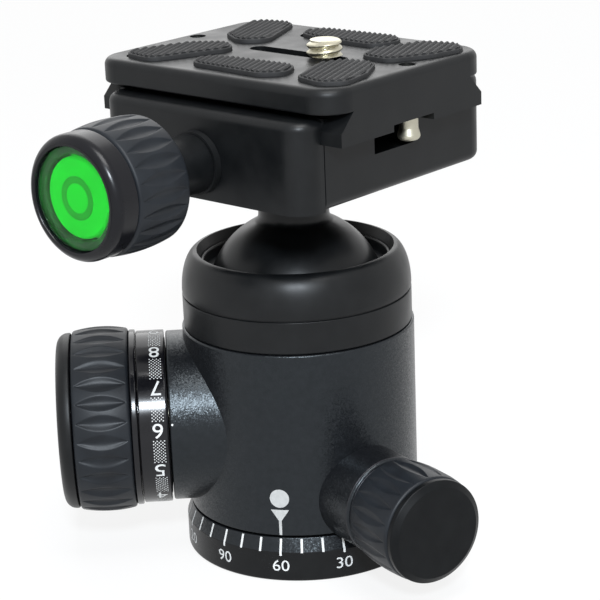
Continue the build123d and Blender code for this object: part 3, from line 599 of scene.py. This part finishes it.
def base_scale():
    """Degree scale: marks on the bevel and numbers on the wall below them."""
    marks = Print(on_base)
    numbers = Print(on_base)
    for value in range(0, 360, scale_step):
        azimuth = scale_zero_azimuth - value
        if value % numbered_step:
            marks.bar(mark_width, mark_length, azimuth, mark_top)
            continue
        marks.bar(mark_width, long_mark_length, azimuth, mark_top)
        text = str(value)
        glyph = fitted_glyph(text, number_width * len(text), number_height)
        numbers.add(*glyph, azimuth, number_middle)
    marks.make("base_scale_marks", UPRIGHT, "base", "black_anodised", WHITE)
    numbers.make("base_scale_numbers", UPRIGHT, "base", "black_anodised", WHITE)


# ---- housing
housing_radius = 21.5
housing_bottom = 8.55
collar_joint = 43.2
spigot_radius = 19.4  # threaded stub that carries the collar
spigot_top = 47.6
notch_radius = 7.05
notch_top = 70.0
notch_end = 30.0  # from the head's axis, past the rear wall
notch_steps = 48  # sides of the notch's half-round bottom
main_boss_radius = 15.85
main_boss_end = 24.75
pan_boss_radius = 9.2
pan_boss_start = 8.0
pan_boss_end = 28.8
chamber_radius = 17.2  # round the ball
chamber_floor = 29.7
housing_bores = (  # (radius, start, end, frame, sides), each for what its comment names
    (17.0, 0, 10.05, UPRIGHT, boss_facets),  # retaining ring
    (13.6, 0, 12.15, UPRIGHT, boss_facets),  # spindle's flange and thrust washer
    (9.55, 0, 20.3, UPRIGHT, hub_facets),  # spindle's post
    (6.0, 17.75, 30, MAIN, bore_facets),  # bush of the main lock
    (2.55, 10, 40, PAN, screw_facets),  # pan lock's screw
)
index_value = 60  # of the scale, under the arrow
index_azimuth = scale_zero_azimuth - index_value


def notch_cutter():
    """Open slot with a half-round bottom, from the ball out through the rear wall."""
    outline = []
    for k in range(notch_steps + 1):
        turn = pi + pi * k / notch_steps
        outline.append((notch_radius * cos(turn), ball_height + notch_radius * sin(turn)))
    outline += [(notch_radius, notch_top), (-notch_radius, notch_top)]
    to_rear = Matrix(((1, 0, 0, 0), (0, 0, -1, 0), (0, 1, 0, 0), (0, 0, 0, 1)))
    return cutter(*prism(outline, -notch_end, 0), to_rear)


def housing_piece():
    outline = rounded([
        (0, housing_bottom), (housing_radius, housing_bottom, 0.35), (housing_radius, collar_joint, 0.35),
        (spigot_radius, collar_joint), (spigot_radius, spigot_top), (0, spigot_top),
    ])
    shell = lathe("housing_shell", outline, UPRIGHT, "housing", "powder_coat", COAT, shell_facets)
    face_outwards(shell)
    add_boss(shell, main_boss_radius, 0, main_boss_end, 0.4, MAIN)
    add_boss(shell, pan_boss_radius, pan_boss_start, pan_boss_end, 0.7, PAN)
    cut_box(shell, far, far, below, housing_bottom, UPRIGHT)
    bore(shell, chamber_radius, chamber_floor, far, UPRIGHT, boss_facets)
    combine(shell, notch_cutter())
    for hole in housing_bores:
        bore(shell, *hole)
    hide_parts("housing")


def add_boss(shell, radius, start, end, edge, place):
    """Joins a round boss with a rounded edge to the shell."""
    outline = rounded([(0, start), (radius, start), (radius, end, edge), (0, end)])
    boss = lathe("boss", outline, place, None, None, COAT, boss_facets)
    face_outwards(boss)
    combine(shell, boss, "UNION")


def pan_boss_edge():
    """Machined ring at the end of the panning boss, just proud of the coat."""
    outer = pan_boss_radius + 0.02
    inner = pan_boss_radius - 1.3
    front = pan_boss_end + 0.03
    outline = rounded([
        (inner, pan_boss_end - 0.4), (outer, pan_boss_end - 0.75), (outer, pan_boss_end - 0.55, 0.1),
        (pan_boss_radius - 0.6, front, 0.1), (inner, front),
    ], steps=3)
    lathe("pan_boss_edge", outline, PAN, "housing", "powder_coat", BARE_EDGE, cap_facets)


def on_housing(angle, height, along, up):
    return on_wall(housing_radius, angle, height, along, up)


def round_dot(radius, count=40, rings=4):
    """Points and faces of a disc in rings, so that it can follow a curved face."""
    points = [(0, 0)]
    loops = [[0]]
    for ring in range(1, rings + 1):
        loops.append(list(range(len(points), len(points) + count)))
        points += circle(radius * ring / rings, count)
    return points, bands(loops[::-1])


def arrowhead(half_width, length, rows=8, columns=8):
    """Points and faces of a triangle that points down, in rows of strips."""
    points = []
    faces = []
    for row in range(rows + 1):
        half = half_width * (1 - row / rows)
        points += [(half * (2 * k / columns - 1), -length * row / rows) for k in range(columns + 1)]
    for row in range(rows):
        for k in range(columns):
            first = row * (columns + 1) + k
            faces.append((first, first + columns + 1, first + columns + 2, first + 1))
    return points, faces


def housing_index():
    """Dot, arrowhead and line that point down at the scale."""
    dot_height = 15.95
    arrow_top = 13.75
    line_top = 11.7
    marks = Print(on_housing)
    marks.add(*round_dot(radius=1.78), index_azimuth, dot_height)
    marks.add(*arrowhead(half_width=1.7, length=2.5), index_azimuth, arrow_top)
    marks.bar(0.5, 2.9, index_azimuth, line_top)
    marks.make("housing_index", UPRIGHT, "housing", "powder_coat", INDEX_WHITE)


# ---- collar, race and ball
collar_radius = 21.15
collar_bottom = 43.23
collar_bore = 19.5
collar_shoulder = 50.0  # where the wall starts to round over
collar_top = 57.3
rounding_end = 18.1  # radius at which the rounding meets the top
collar_steps = 24  # sides of the rounding
mouth_radius = 16.8
race_radius = 18.3  # seat of the upper race
race_bottom = 49.2
race_top = 53.4
groove_depth = 0.35
groove_bottom = 49.2
groove_top = 49.8
groove_slope = 0.08  # height of the groove's sloping sides


def collar_piece():
    """Collar with a groove round it and an elliptic rounding up to its mouth."""
    rounding = []
    for k in range(collar_steps + 1):
        turn = pi / 2 * k / collar_steps
        radius = rounding_end + (collar_radius - rounding_end) * cos(turn)
        rounding.append((radius, collar_shoulder + (collar_top - collar_shoulder) * sin(turn)))
    groove_radius = collar_radius - groove_depth
    wall = rounded([
        (collar_bore, collar_bottom), (collar_radius, collar_bottom, 0.4),
        (collar_radius, groove_bottom, 0.12), (groove_radius, groove_bottom + groove_slope),
        (groove_radius, groove_top - groove_slope), (collar_radius, groove_top, 0.12),
    ])
    mouth = rounded([
        (mouth_radius, collar_top, 0.35), (mouth_radius, race_top), (race_radius, race_top),
        (race_radius, race_bottom), (collar_bore, race_bottom),
    ])
    outline = wall + rounding + mouth
    collar = lathe("collar_shell", outline, UPRIGHT, "housing", "black_anodised", COLLAR_SATIN, shell_facets)
    face_outwards(collar)
    combine(collar, notch_cutter())
    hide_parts("retaining_collar")


ball_radius = 16.5
ball_steps = 96
neck_radius = 6.5
neck_top = 24.08  # above the ball's centre
neck_fillet = 1.6
fillet_steps = 12
mount_hole = 3.0
mount_hole_end = 10.1


def ball_piece():
    """Ball and neck as one turned outline, with a fillet between them."""
    centre = neck_radius + neck_fillet
    rise = sqrt((ball_radius + neck_fillet) ** 2 - centre**2)
    tangent = atan2(rise, centre)
    outline = [(0, -ball_radius)]
    for k in range(1, ball_steps + 1):
        turn = (tangent + pi / 2) * k / ball_steps - pi / 2
        outline.append((ball_radius * cos(turn), ball_radius * sin(turn)))
    for k in range(1, fillet_steps + 1):
        turn = tangent - pi - tangent * k / fillet_steps
        outline.append((centre + neck_fillet * cos(turn), rise + neck_fillet * sin(turn)))
    outline += rounded([
        (neck_radius, neck_top, 0.3), (mount_hole, neck_top), (mount_hole, mount_hole_end),
        (0, mount_hole_end),
    ])
    ball = lathe("ball_and_neck", outline, AT_BALL, "ball", "black_anodised", BALL_SATIN)
    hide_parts("ball")


# ---- rubber grips
sides_per_flute = 24
grip_rows = 64
grip_edge = 0.55  # radius of the rounding at both ends
flute_half_length = 0.44  # as a share of the grip's length
flute_form = 1.3  # above 0.5, the higher the crisper a flute's edge


def barrel(start, end, back, belly, front, height):
    """Radius of a grip's barrel at a place on its axis, through three given radii."""
    t = (height - start) / (end - start)  # 0 at the start and 1 at the end
    bulge = belly - (back + front) / 2
    return back + (front - back) * t + 4 * bulge * t * (1 - t)


def flute(turn, t, count, half_width, depth):
    """Depth of a lens-shaped flute: crisp at its edges, pointed at both ends."""
    pitch = 2 * pi / count
    off = (turn + pitch / 2) % pitch - pitch / 2
    reach = 1 - ((t - 0.5) / flute_half_length) ** 2
    if reach <= 0:
        return 0.0
    across = abs(off) / (half_width * reach)
    if across >= 1:
        return 0.0
    return depth * sqrt(reach) * (1 - across**2) ** flute_form


def grip(name, node, place, body, start, end, radii, inner, count, width, depth):
    """Rubber sleeve with a dense outer skin that carries the flutes."""
    back, belly, front = radii
    around = count * sides_per_flute
    verts = []
    for row in range(grip_rows + 1):
        t = row / grip_rows
        height = start + (end - start) * t
        inset = edge_inset(min(height - start, end - height))
        radius = barrel(start, end, back, belly, front, height) - inset
        for k in range(around):
            turn = 2 * pi * k / around
            skin = radius - flute(turn, t, count, width / 2 / belly, depth)
            verts.append((skin * cos(turn), skin * sin(turn), height))
    for height in (end, start):
        verts += [(x, y, height) for x, y in circle(inner, around)]
    rings = even_rings(grip_rows + 3, around)
    sleeve = piece(name, verts, bands(rings + rings[:1]), place, body, "grip_rubber", RUBBER, sharp=50)
    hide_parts(node)


def edge_inset(depth):
    """How far the rounded edge draws in at a depth from the grip's end."""
    if depth >= grip_edge:
        return 0
    return grip_edge - sqrt(max(0, grip_edge**2 - (grip_edge - depth) ** 2))


# ---- knobs, measured from the head's axis
main_start = 25.1
main_radius = 16.4  # of the cap and the flange
main_ring_radius = 16.1
pan_start = 29.1


def tube(inner, outer, low, high, edge=0):
    """Outline of a turned ring, with its outer edges rounded."""
    return rounded([(inner, low), (outer, low, edge), (outer, high, edge), (inner, high)], steps=4)


def main_knob():
    ring_end = 30.25
    flange = 30.45
    flange_end = 31.6
    hub_end = 42.3
    shaft = 3.05
    waist = 11.0  # the hub's radius under the scale ring
    hub_radius = 12.5
    hub = rounded([
        (shaft, main_start), (waist, main_start), (waist, flange), (main_radius, flange, 0.25),
        (main_radius, flange_end, 0.25), (hub_radius, flange_end), (hub_radius, hub_end), (shaft, hub_end),
    ], steps=4)
    core = lathe("main_knob_core", hub, MAIN, "main_knob", "gloss_anodised", GLOSS)
    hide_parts("main_knob_hub")
    ring = tube(waist + running_gap, main_ring_radius, main_start, ring_end, edge=0.2)
    scale = lathe("main_scale_band", ring, MAIN, "main_knob", "gloss_anodised", GLOSS)
    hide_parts("main_scale_ring")
    main_cap(hub_end + 0.1)
    grip("main_grip", "main_knob_grip", MAIN, "main_knob", start=31.7, end=42.2,
         radii=(16.7, 17.3, 16.6), inner=hub_radius + running_gap, count=30, width=2.9, depth=0.48)


def main_cap(start):
    """Cap with a shallow round recess."""
    end = 45.0
    floor = 44.4
    recess = 11.4
    cap = rounded([
        (0, start), (main_radius, start, 0.3), (main_radius, end, 2.1),
        (recess + 0.3, end, 0.25), (recess, floor, 0.25), (0, floor),
    ], steps=10)
    lid = lathe("main_cap", cap, MAIN, "main_knob", "black_anodised", SATIN)
    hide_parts("main_knob_cap")


digit_pitch = 28.1  # degrees round the ring from one digit to the next
digit_six = 79.4  # where the 6 stands, from the top towards the front
digit_place = 26.9  # distance of the digits' centres from the head's axis
digit_width = 1.9
one_width = 0.9
digit_height = 2.75
dot_place = 26.8
dot_rows = 15
dot_columns = 4
dot_row_pitch = 0.3
dot_column_pitch = 0.66
dot_half = 0.145  # from a diamond's centre to its corners


def on_ring(angle, height, along, up):
    """Point on the scale ring; angle runs from the top towards the front, up runs against it."""
    radius = main_ring_radius + paint_lift
    turn = radians(angle) - up / radius
    return radius * cos(turn), -radius * sin(turn), height - along


def digit_angle(value):
    return digit_six + (6 - value) * digit_pitch


def main_scale():
    """Friction scale: ten digits on their heads, with a band of dots between each two."""
    digits = Print(on_ring)
    dots = Print(on_ring)
    for value in range(10):
        width = one_width if value == 1 else digit_width
        glyph = fitted_glyph(str(value), width, digit_height)
        digits.add(*glyph, digit_angle(value), digit_place, turned=True)
    for value in range(9):
        dot_band(dots, digit_angle(value) - digit_pitch / 2)
    digits.make("main_scale_digits", MAIN, "main_knob", "gloss_anodised", WHITE)
    dots.make("main_scale_dots", MAIN, "main_knob", "gloss_anodised", WHITE)


def dot_band(marks, middle):
    """Lattice of small diamonds round an angle, every second row shifted by half a pitch."""
    diamond = [(-dot_half, 0), (0, -dot_half), (dot_half, 0), (0, dot_half)]
    for row in range(dot_rows):
        odd = row % 2
        up = (row - (dot_rows - 1) / 2) * dot_row_pitch
        for column in range(dot_columns - odd):
            along = (column - (dot_columns - 1) / 2 + odd / 2) * dot_column_pitch
            points = [(along + x, up + y) for x, y in diamond]
            marks.add(points, [(0, 1, 2, 3)], middle, dot_place)


def boss_dot():
    """Index dot on the main boss, read against the friction scale."""
    dot_angle = 76.0
    dot_inset = 0.5
    radius = main_boss_radius + paint_lift
    points = []
    flat, faces = round_dot(0.2, count=16, rings=2)
    for x, y in flat:
        turn = radians(dot_angle) - y / radius
        points.append((radius * cos(turn), -radius * sin(turn), main_boss_end - dot_inset + x))
    piece("boss_index_dot", points, faces, MAIN, "housing", "powder_coat", WHITE)


def gap_washers():
    """Painted shade: thin dark discs that fill the gaps behind the knobs so that the gaps read dark; clear of
    the bosses at the ends of the knobs' travel.
    """
    main = tube(3.2, 14.6, 25.0, main_start - 0.02)
    lathe("main_gap_shade_disc", main, MAIN, "main_knob", "black_plastic", PLASTIC, hub_facets)
    pan = tube(2.7, 7.9, 28.87, pan_start - 0.02)
    lathe("pan_gap_shade_disc", pan, PAN, "pan_knob", "black_plastic", PLASTIC, bore_facets)


def pan_knob():
    grip_start = 29.4
    grip_end = 41.2
    cap = 41.3
    bevel = 42.4
    end = 43.2
    shaft = 2.5
    hub_radius = 7.0
    skirt = 8.5
    radius = 9.5
    hub = rounded([
        (shaft, pan_start), (skirt, pan_start), (skirt, grip_start),
        (hub_radius, grip_start), (hub_radius, grip_end), (shaft, grip_end),
    ])
    core = lathe("pan_knob_core", hub, PAN, "pan_knob", "black_anodised", SATIN, hub_facets)
    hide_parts("pan_knob_hub")
    outline = rounded([
        (0, cap), (radius, cap, 0.25), (radius, bevel, 0.3), (radius - 1.2, end, 0.3), (0, end),
    ])
    lid = lathe("pan_cap", outline, PAN, "pan_knob", "black_anodised", CAP_SATIN, cap_facets)
    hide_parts("pan_knob_cap")
    grip("pan_grip", "pan_knob_grip", PAN, "pan_knob", grip_start, grip_end,
         radii=(9.3, 9.9, 9.6), inner=hub_radius + running_gap, count=20, width=2.4, depth=0.42)


def clamp_knob():
    start = 25.6
    skirt_start = 36.4
    skirt_end = 36.8
    grip_start = 37.0
    grip_end = 48.7
    shaft = 3.0
    neck = 5.2
    hub_radius = 8.2
    skirt = 9.6
    hub = rounded([
        (shaft, start), (neck, start, 0.2), (neck, skirt_start, 0.3), (skirt, skirt_end, 0.2),
        (skirt, grip_start), (hub_radius, grip_start), (hub_radius, grip_end), (shaft, grip_end),
    ])
    core = lathe("clamp_knob_core", hub, KNOB, "clamp_knob", "black_anodised", SATIN, hub_facets)
    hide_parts("clamp_knob_hub")
    level_bezel()
    grip("clamp_grip", "clamp_knob_grip", KNOB, "clamp_knob", grip_start, grip_end,
         radii=(10.8, 11.3, 10.8), inner=hub_radius + running_gap, count=24, width=2.5, depth=0.45)


# ---- level in the clamp's knob
level_start = 49.1  # measured from the head's axis, as are the next ones
level_floor = 51.2  # of the cup that holds the disc
level_end = 52.4
disc_start = 51.25
disc_edge = 52.0  # the disc is slightly domed
level_radius = 8.7
disc_radius = 6.9


def level_bezel():
    start = 48.8
    floor = 49.05
    end = 53.8
    radius = 10.7
    inner = 8.75
    outline = rounded([
        (0, start), (radius, start, 0.3), (radius, end, 1.8),
        (inner + 0.15, end, 0.5), (inner, floor), (0, floor),
    ], steps=10)
    rim = lathe("level_rim", outline, KNOB, "clamp_knob", "gloss_anodised", BEZEL_GLOSS, boss_facets)
    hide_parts("level_bezel")


def level():
    """Round level: green capsule in a darker wall, with its ring, under a clear lens."""
    wall = rounded([
        (0, level_start), (level_radius, level_start), (level_radius, level_end, 0.1),
        (disc_radius + 0.4, level_end, 0.5), (disc_radius + 0.1, level_floor), (0, level_floor),
    ])
    cup = lathe("level_wall", wall, KNOB, "clamp_knob", "level_fluid", GREEN_SHADE, cap_facets)
    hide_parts("level_vial")
    disc = rounded([
        (0, disc_start), (disc_radius, disc_start), (disc_radius, disc_edge, 0.5), (0, disc_edge + 0.1),
    ])
    lathe("level_disc", disc, KNOB, "clamp_knob", "level_fluid", GREEN, cap_facets)
    inner = 2.5
    outer = 3.7
    top = 52.15
    ring = rounded([(inner, disc_edge), (outer, disc_edge), (outer, top, 0.05), (inner, top, 0.05)])
    lathe("level_ring", ring, KNOB, "clamp_knob", "level_fluid", GREEN_RING, bore_facets)
    level_lens()


def level_lens():
    start = 52.45
    edge = 53.0
    end = 53.5
    outline = rounded([
        (0, start), (level_radius, start), (level_radius, edge, 0.2),
        (level_radius - 1.2, end - 0.1, 0.5), (0, end),
    ])
    glass = lathe("level_window", outline, KNOB, "clamp_knob", "lens", LENS, cap_facets)
    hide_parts("level_lens")


# ---- pads
pad_base = 45.2
pad_top = 46.6
pad_corner_radius = 3.1
plate_offset = 0.4
plate_half_length = 28.05
plate_half_width = 21.6
rib_pitch = 1.1
rib_height = 0.3
rib_inset = 0.45  # width of the smooth rim round the ribs
rib_azimuth = 66.0
rib_reach = 22.0  # half the ribbed slab's size, past any pad
rib_profile = ((0, 0), (0.2, 0.8), (0.32, 1), (0.48, 1), (0.6, 0.8), (0.8, 0))  # shares of pitch and height
# corners on one side of the rail, in shares of the plate's half length and half width
left_pad_shares = [(-0.88, 0.82), (-0.56, 0.91), (-0.32, 0.22), (-0.48, 0.04), (-0.70, 0.22)]
middle_pad_shares = [(-0.40, 0.60), (-0.22, 0.83), (0.34, 0.87), (0.48, 0.72), (0.38, 0.47), (-0.12, 0.50)]
right_pad_shares = [
    (0.60, 0.80), (0.83, 0.88), (0.96, 0.74), (0.91, 0.42), (0.76, 0.07), (0.53, 0.09), (0.46, 0.34),
]


def ribbed_slab(outline):
    """Wide slab whose top runs in ribs across the plate, larger than a pad's outline."""
    direction = radians(rib_azimuth - rail_azimuth)
    along = Vector((cos(direction), sin(direction)))
    across = Vector((-along.y, along.x))
    centre = sum((Vector(p) for p in outline), Vector((0, 0))) / len(outline)
    teeth = int(2 * rib_reach / rib_pitch)
    first = -teeth // 2 * rib_pitch
    verts = []
    for tooth in range(teeth):
        for share, up in rib_profile:
            off = first + (tooth + share) * rib_pitch
            height = pad_top - rib_height * (1 - up)
            for end in (-rib_reach, rib_reach):
                spot = centre + across * off + along * end
                verts.append((spot.x, spot.y, height))
    top = len(verts)
    verts += [(x, y, pad_base) for x, y, _ in verts]
    faces = []
    for k in range(0, top - 2, 2):
        faces.append((k, k + 1, k + 3, k + 2))
        faces.append((top + k, top + k + 2, top + k + 3, top + k + 1))
        faces.append((k, k + 2, top + k + 2, top + k))
        faces.append((k + 1, top + k + 1, top + k + 3, k + 3))
    faces.append((0, top, top + 1, 1))
    faces.append((top - 2, top - 1, 2 * top - 1, 2 * top - 2))
    return verts, faces


def offset_plan(plan, inset):
    """Outline moved inwards by a small distance."""
    count = len(plan)
    turning = sum(plan[k - 1][0] * plan[k][1] - plan[k][0] * plan[k - 1][1] for k in range(count))
    side = 1 if turning > 0 else -1
    moved = []
    for k in range(count):
        run = Vector(plan[(k + 1) % count]) - Vector(plan[k - 1])
        inward = Vector((-run.y, run.x)).normalized() * side
        moved.append(tuple(Vector(plan[k]) + inward * inset))
    return moved


def stacked(plans):
    """Closed solid from outlines of equal length, each at its own height."""
    verts = [(x, y, height) for plan, height in plans for x, y in plan]
    rings = even_rings(len(plans), len(plans[0][0]))
    return verts, [tuple(reversed(rings[0])), tuple(rings[-1])] + bands(rings)


def pad_corners(shares, side):
    """Corners on the plate from shares of its half length and half width."""
    return [(plate_offset + u * plate_half_length, side * v * plate_half_width) for u, v in shares]


def pad_piece(index, corners):
    """Rubber pad: a smooth rim round a field of fine ribs."""
    plan = rounded([(u, v, pad_corner_radius) for u, v in corners], steps=8)
    rim = pad_top - rib_height
    inner = offset_plan(plan, rib_inset)
    layers = [(plan, pad_base), (plan, rim - 0.18), (offset_plan(plan, 0.06), rim - 0.05)]
    layers += [(offset_plan(plan, 0.2), rim), (inner, rim), (inner, pad_top + 0.1)]
    pad = piece(f"rubber_pad_{index}", *stacked(layers), CLAMP, "plate", "pad_rubber", PAD, sharp=35)
    face_outwards(pad)
    combine(pad, cutter(*ribbed_slab(corners), CLAMP), "INTERSECT", sharp=35)
    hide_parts(f"plate_pad_{index}")


def pads():
    index = 1
    for shares in (left_pad_shares, middle_pad_shares, right_pad_shares):
        for side in (1, -1):
            pad_piece(index, pad_corners(shares, side))
            index += 1


# ---- screws
screw_place = 8.75  # along the rail
screw_bottom = 36.95  # heights are above the ball's centre
thread_low = 45.95
thread_high = 48.7
thread_radius = 3.175
thread_depth = 0.55
thread_pitch = 1.27
thread_half_width = 0.42  # of the groove, as a share of the pitch
rows_per_turn = 16
tip_length = 0.55
tip_slope = 0.8
stop_screw_spread = 24.8  # from the plate's middle
stop_screw_side = 2.5


def thread_skin(height, share):
    """Radius of the screw's thread at a height and a share of a turn, smaller towards its tip."""
    phase = (height / thread_pitch - share) % 1.0
    groove = max(0.0, 1 - abs(phase - 0.5) / thread_half_width)
    tip = max(0.0, tip_length - (thread_high - height))
    return thread_radius - thread_depth * groove - tip * tip_slope


def camera_screw_thread(place):
    """Stud with a real helical thread, closed at both ends."""
    around = bore_facets
    rows = int((thread_high - thread_low) / thread_pitch * rows_per_turn)
    verts = []
    for row in range(rows + 1):
        height = thread_low + (thread_high - thread_low) * row / rows
        for k in range(around):
            turn = 2 * pi * k / around
            skin = thread_skin(height, k / around)
            verts.append((skin * cos(turn), skin * sin(turn), height))
    bottom = len(verts)
    rings = even_rings(rows + 1, around)
    verts += [(0, 0, thread_low), (0, 0, thread_high)]
    faces = bands(rings) + band([bottom], rings[0]) + band(rings[-1], [bottom + 1])
    piece("camera_screw_thread", verts, faces, place, "camera_screw", "bright_steel", SCREW_STEEL, sharp=40)


def camera_screw():
    place = CLAMP @ Matrix.Translation((screw_place, 0, 0))
    head_top = 39.95
    radius = 6.2
    neck = 1.7
    neck_top = 46.2
    slot_half_width = 0.7
    slot_top = 38.45
    outline = rounded([
        (0, screw_bottom), (radius, screw_bottom, 0.4), (radius, head_top, 0.2),
        (neck, head_top), (neck, neck_top), (0, neck_top),
    ])
    head = lathe("camera_screw_head", outline, place, "camera_screw", "bright_steel", SCREW_STEEL, hub_facets)
    face_outwards(head)
    cut_box(head, radius + past, slot_half_width, screw_bottom - past, slot_top, place)
    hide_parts("camera_screw")
    camera_screw_thread(place)


def stop_screws():
    """Two screws under the plate, heads down; one of them stands in for the node of both."""
    head = 32.45
    seat = 36.95
    end = 44.8
    collar = 1.7
    thread = 1.5
    for index, side in enumerate((-1, 1)):
        place = CLAMP @ Matrix.Translation((plate_offset + side * stop_screw_spread, stop_screw_side, 0))
        outline = rounded([
            (0, head), (2.25, head, 0.8), (collar, 34.65, 0.2), (collar, seat),
            (thread, seat), (thread, end, 0.2), (0, end),
        ])
        screw = lathe(f"stop_screw_{index}", outline, place, "plate", "bright_steel", BRIGHT, screw_facets)
        if side < 0:
            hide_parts("plate_stop_screws")


# ---- floor, light and camera, in metres
floor_size = 6.0
floor_drop = 0.00005  # keeps the floor just clear of the base
floor_white_share = 0.85  # how much of the plain white covers the floor's own shading
world_strength = 0.3  # of the light on the object; the background shows at 1
light_target = (0, 0, 0.05)


def seen_directly(owner):
    """Node and output that give 1 for what the camera, a reflection or a clear piece shows."""
    path = add_node(owner, "ShaderNodeLightPath")
    total = (path, "Is Camera Ray")
    for name in ("Is Glossy Ray", "Is Transmission Ray"):
        total = (maths(owner, "ShaderNodeMath", "MAXIMUM", total, (path, name)), "Value")
    return total


def mix_shaders(owner, share, first, second, end):
    """Sends a mix of two shaders to the named output, all of it the second where the share is 1."""
    mix = add_node(owner, "ShaderNodeMixShader")
    feed(owner, mix, share, first, second)
    link(owner, mix, "Shader", owner.node_tree.nodes[end], "Surface")


def floor():
    """Pale floor that shows as white, with a faint shadow of the object."""
    material = new_material("floor", (0.86, 0.86, 0.86), 0.7, specular=0.2)
    share = maths(material, "ShaderNodeMath", "MULTIPLY", seen_directly(material))
    share.inputs[1].default_value = floor_white_share
    own = (shader_of(material), "BSDF")
    white = (add_node(material, "ShaderNodeEmission"), "Emission")
    mix_shaders(material, (share, "Value"), own, white, "Material Output")
    bpy.ops.mesh.primitive_plane_add(size=floor_size, location=(0, 0, -floor_drop))
    ground = bpy.context.object
    ground.name = "studio_floor"
    ground.data.materials.append(material)


def world_light():
    """Even light, with the plain white of the background for what the camera and gloss see."""
    world = bpy.data.worlds.new("studio")
    bpy.context.scene.world = world
    world.use_nodes = True
    soft = world.node_tree.nodes["Background"]
    white = add_node(world, "ShaderNodeBackground")
    set_inputs(soft, Color=(1, 1, 1, 1), Strength=world_strength)
    set_inputs(white, Color=(1, 1, 1, 1), Strength=1.0)
    shown = seen_directly(world)
    mix_shaders(world, shown, (soft, "Background"), (white, "Background"), "World Output")


def area_light(name, azimuth, elevation, distance, size, power, color=(1, 1, 1)):
    """Square lamp aimed at the middle of the head, placed by its direction from there."""
    data = bpy.data.lights.new(name, "AREA")
    data.size = size
    data.energy = power
    data.color = color
    lamp = add_object(name, data)
    a = radians(azimuth)
    e = radians(elevation)
    away = Vector((cos(a) * cos(e), sin(a) * cos(e), sin(e)))
    lamp.location = Vector(light_target) + away * distance
    lamp.rotation_mode = "QUATERNION"
    lamp.rotation_quaternion = away.to_track_quat("Z", "Y")


image_side = 600  # in pixels, as are the next two
focal_length = 2096.4
principal_point = (310.85, 356.16)
sensor_width = 36.0  # in millimetres
camera_azimuth = -3.279  # of the camera's right-hand side; angles in degrees
camera_elevation = 19.488
camera_roll = 2.212
camera_distance = 0.39146  # from the point aimed at, which the next two give
aim_right = 0.0021
aim_height = 0.03554


def camera():
    """Camera whose lens shift puts the principal point off the middle of the picture."""
    data = bpy.data.cameras.new("camera")
    data.sensor_width = sensor_width
    data.lens = sensor_width * focal_length / image_side
    data.shift_x = (image_side / 2 - principal_point[0]) / image_side
    data.shift_y = (principal_point[1] - image_side / 2) / image_side
    data.clip_start = 0.01
    data.clip_end = 20.0
    holder = add_object("camera", data)
    a = radians(camera_azimuth)
    e = radians(camera_elevation)
    back = Vector((sin(a) * cos(e), -cos(a) * cos(e), sin(e)))
    right = Vector((cos(a), sin(a), 0))
    holder.location = Vector((0, 0, aim_height)) + right * aim_right + back * camera_distance
    holder.rotation_mode = "QUATERNION"
    level = (-back).to_track_quat("-Z", "Y")
    roll = Matrix.Rotation(radians(-camera_roll), 3, "Z").to_quaternion()
    holder.rotation_quaternion = level @ roll
    bpy.context.scene.camera = holder


camera()
dress_nodes()
base_piece()
base_scale()
housing_piece()
pan_boss_edge()
housing_index()
collar_piece()
ball_piece()
main_knob()
main_scale()
boss_dot()
# dark discs as painted shade in the gaps behind the knobs
gap_washers()
pan_knob()
clamp_knob()
level()
pads()
camera_screw()
stop_screws()
floor()
world_light()
area_light("key", -92, 33, distance=0.9, size=0.10, power=8.0, color=(0.84, 0.92, 1.0))
area_light("top", -80, 66, distance=1.0, size=0.45, power=6.5)
area_light("back", 88, 32, distance=1.2, size=1.0, power=4.5)
bpy.context.scene.view_settings.view_transform = "Standard"
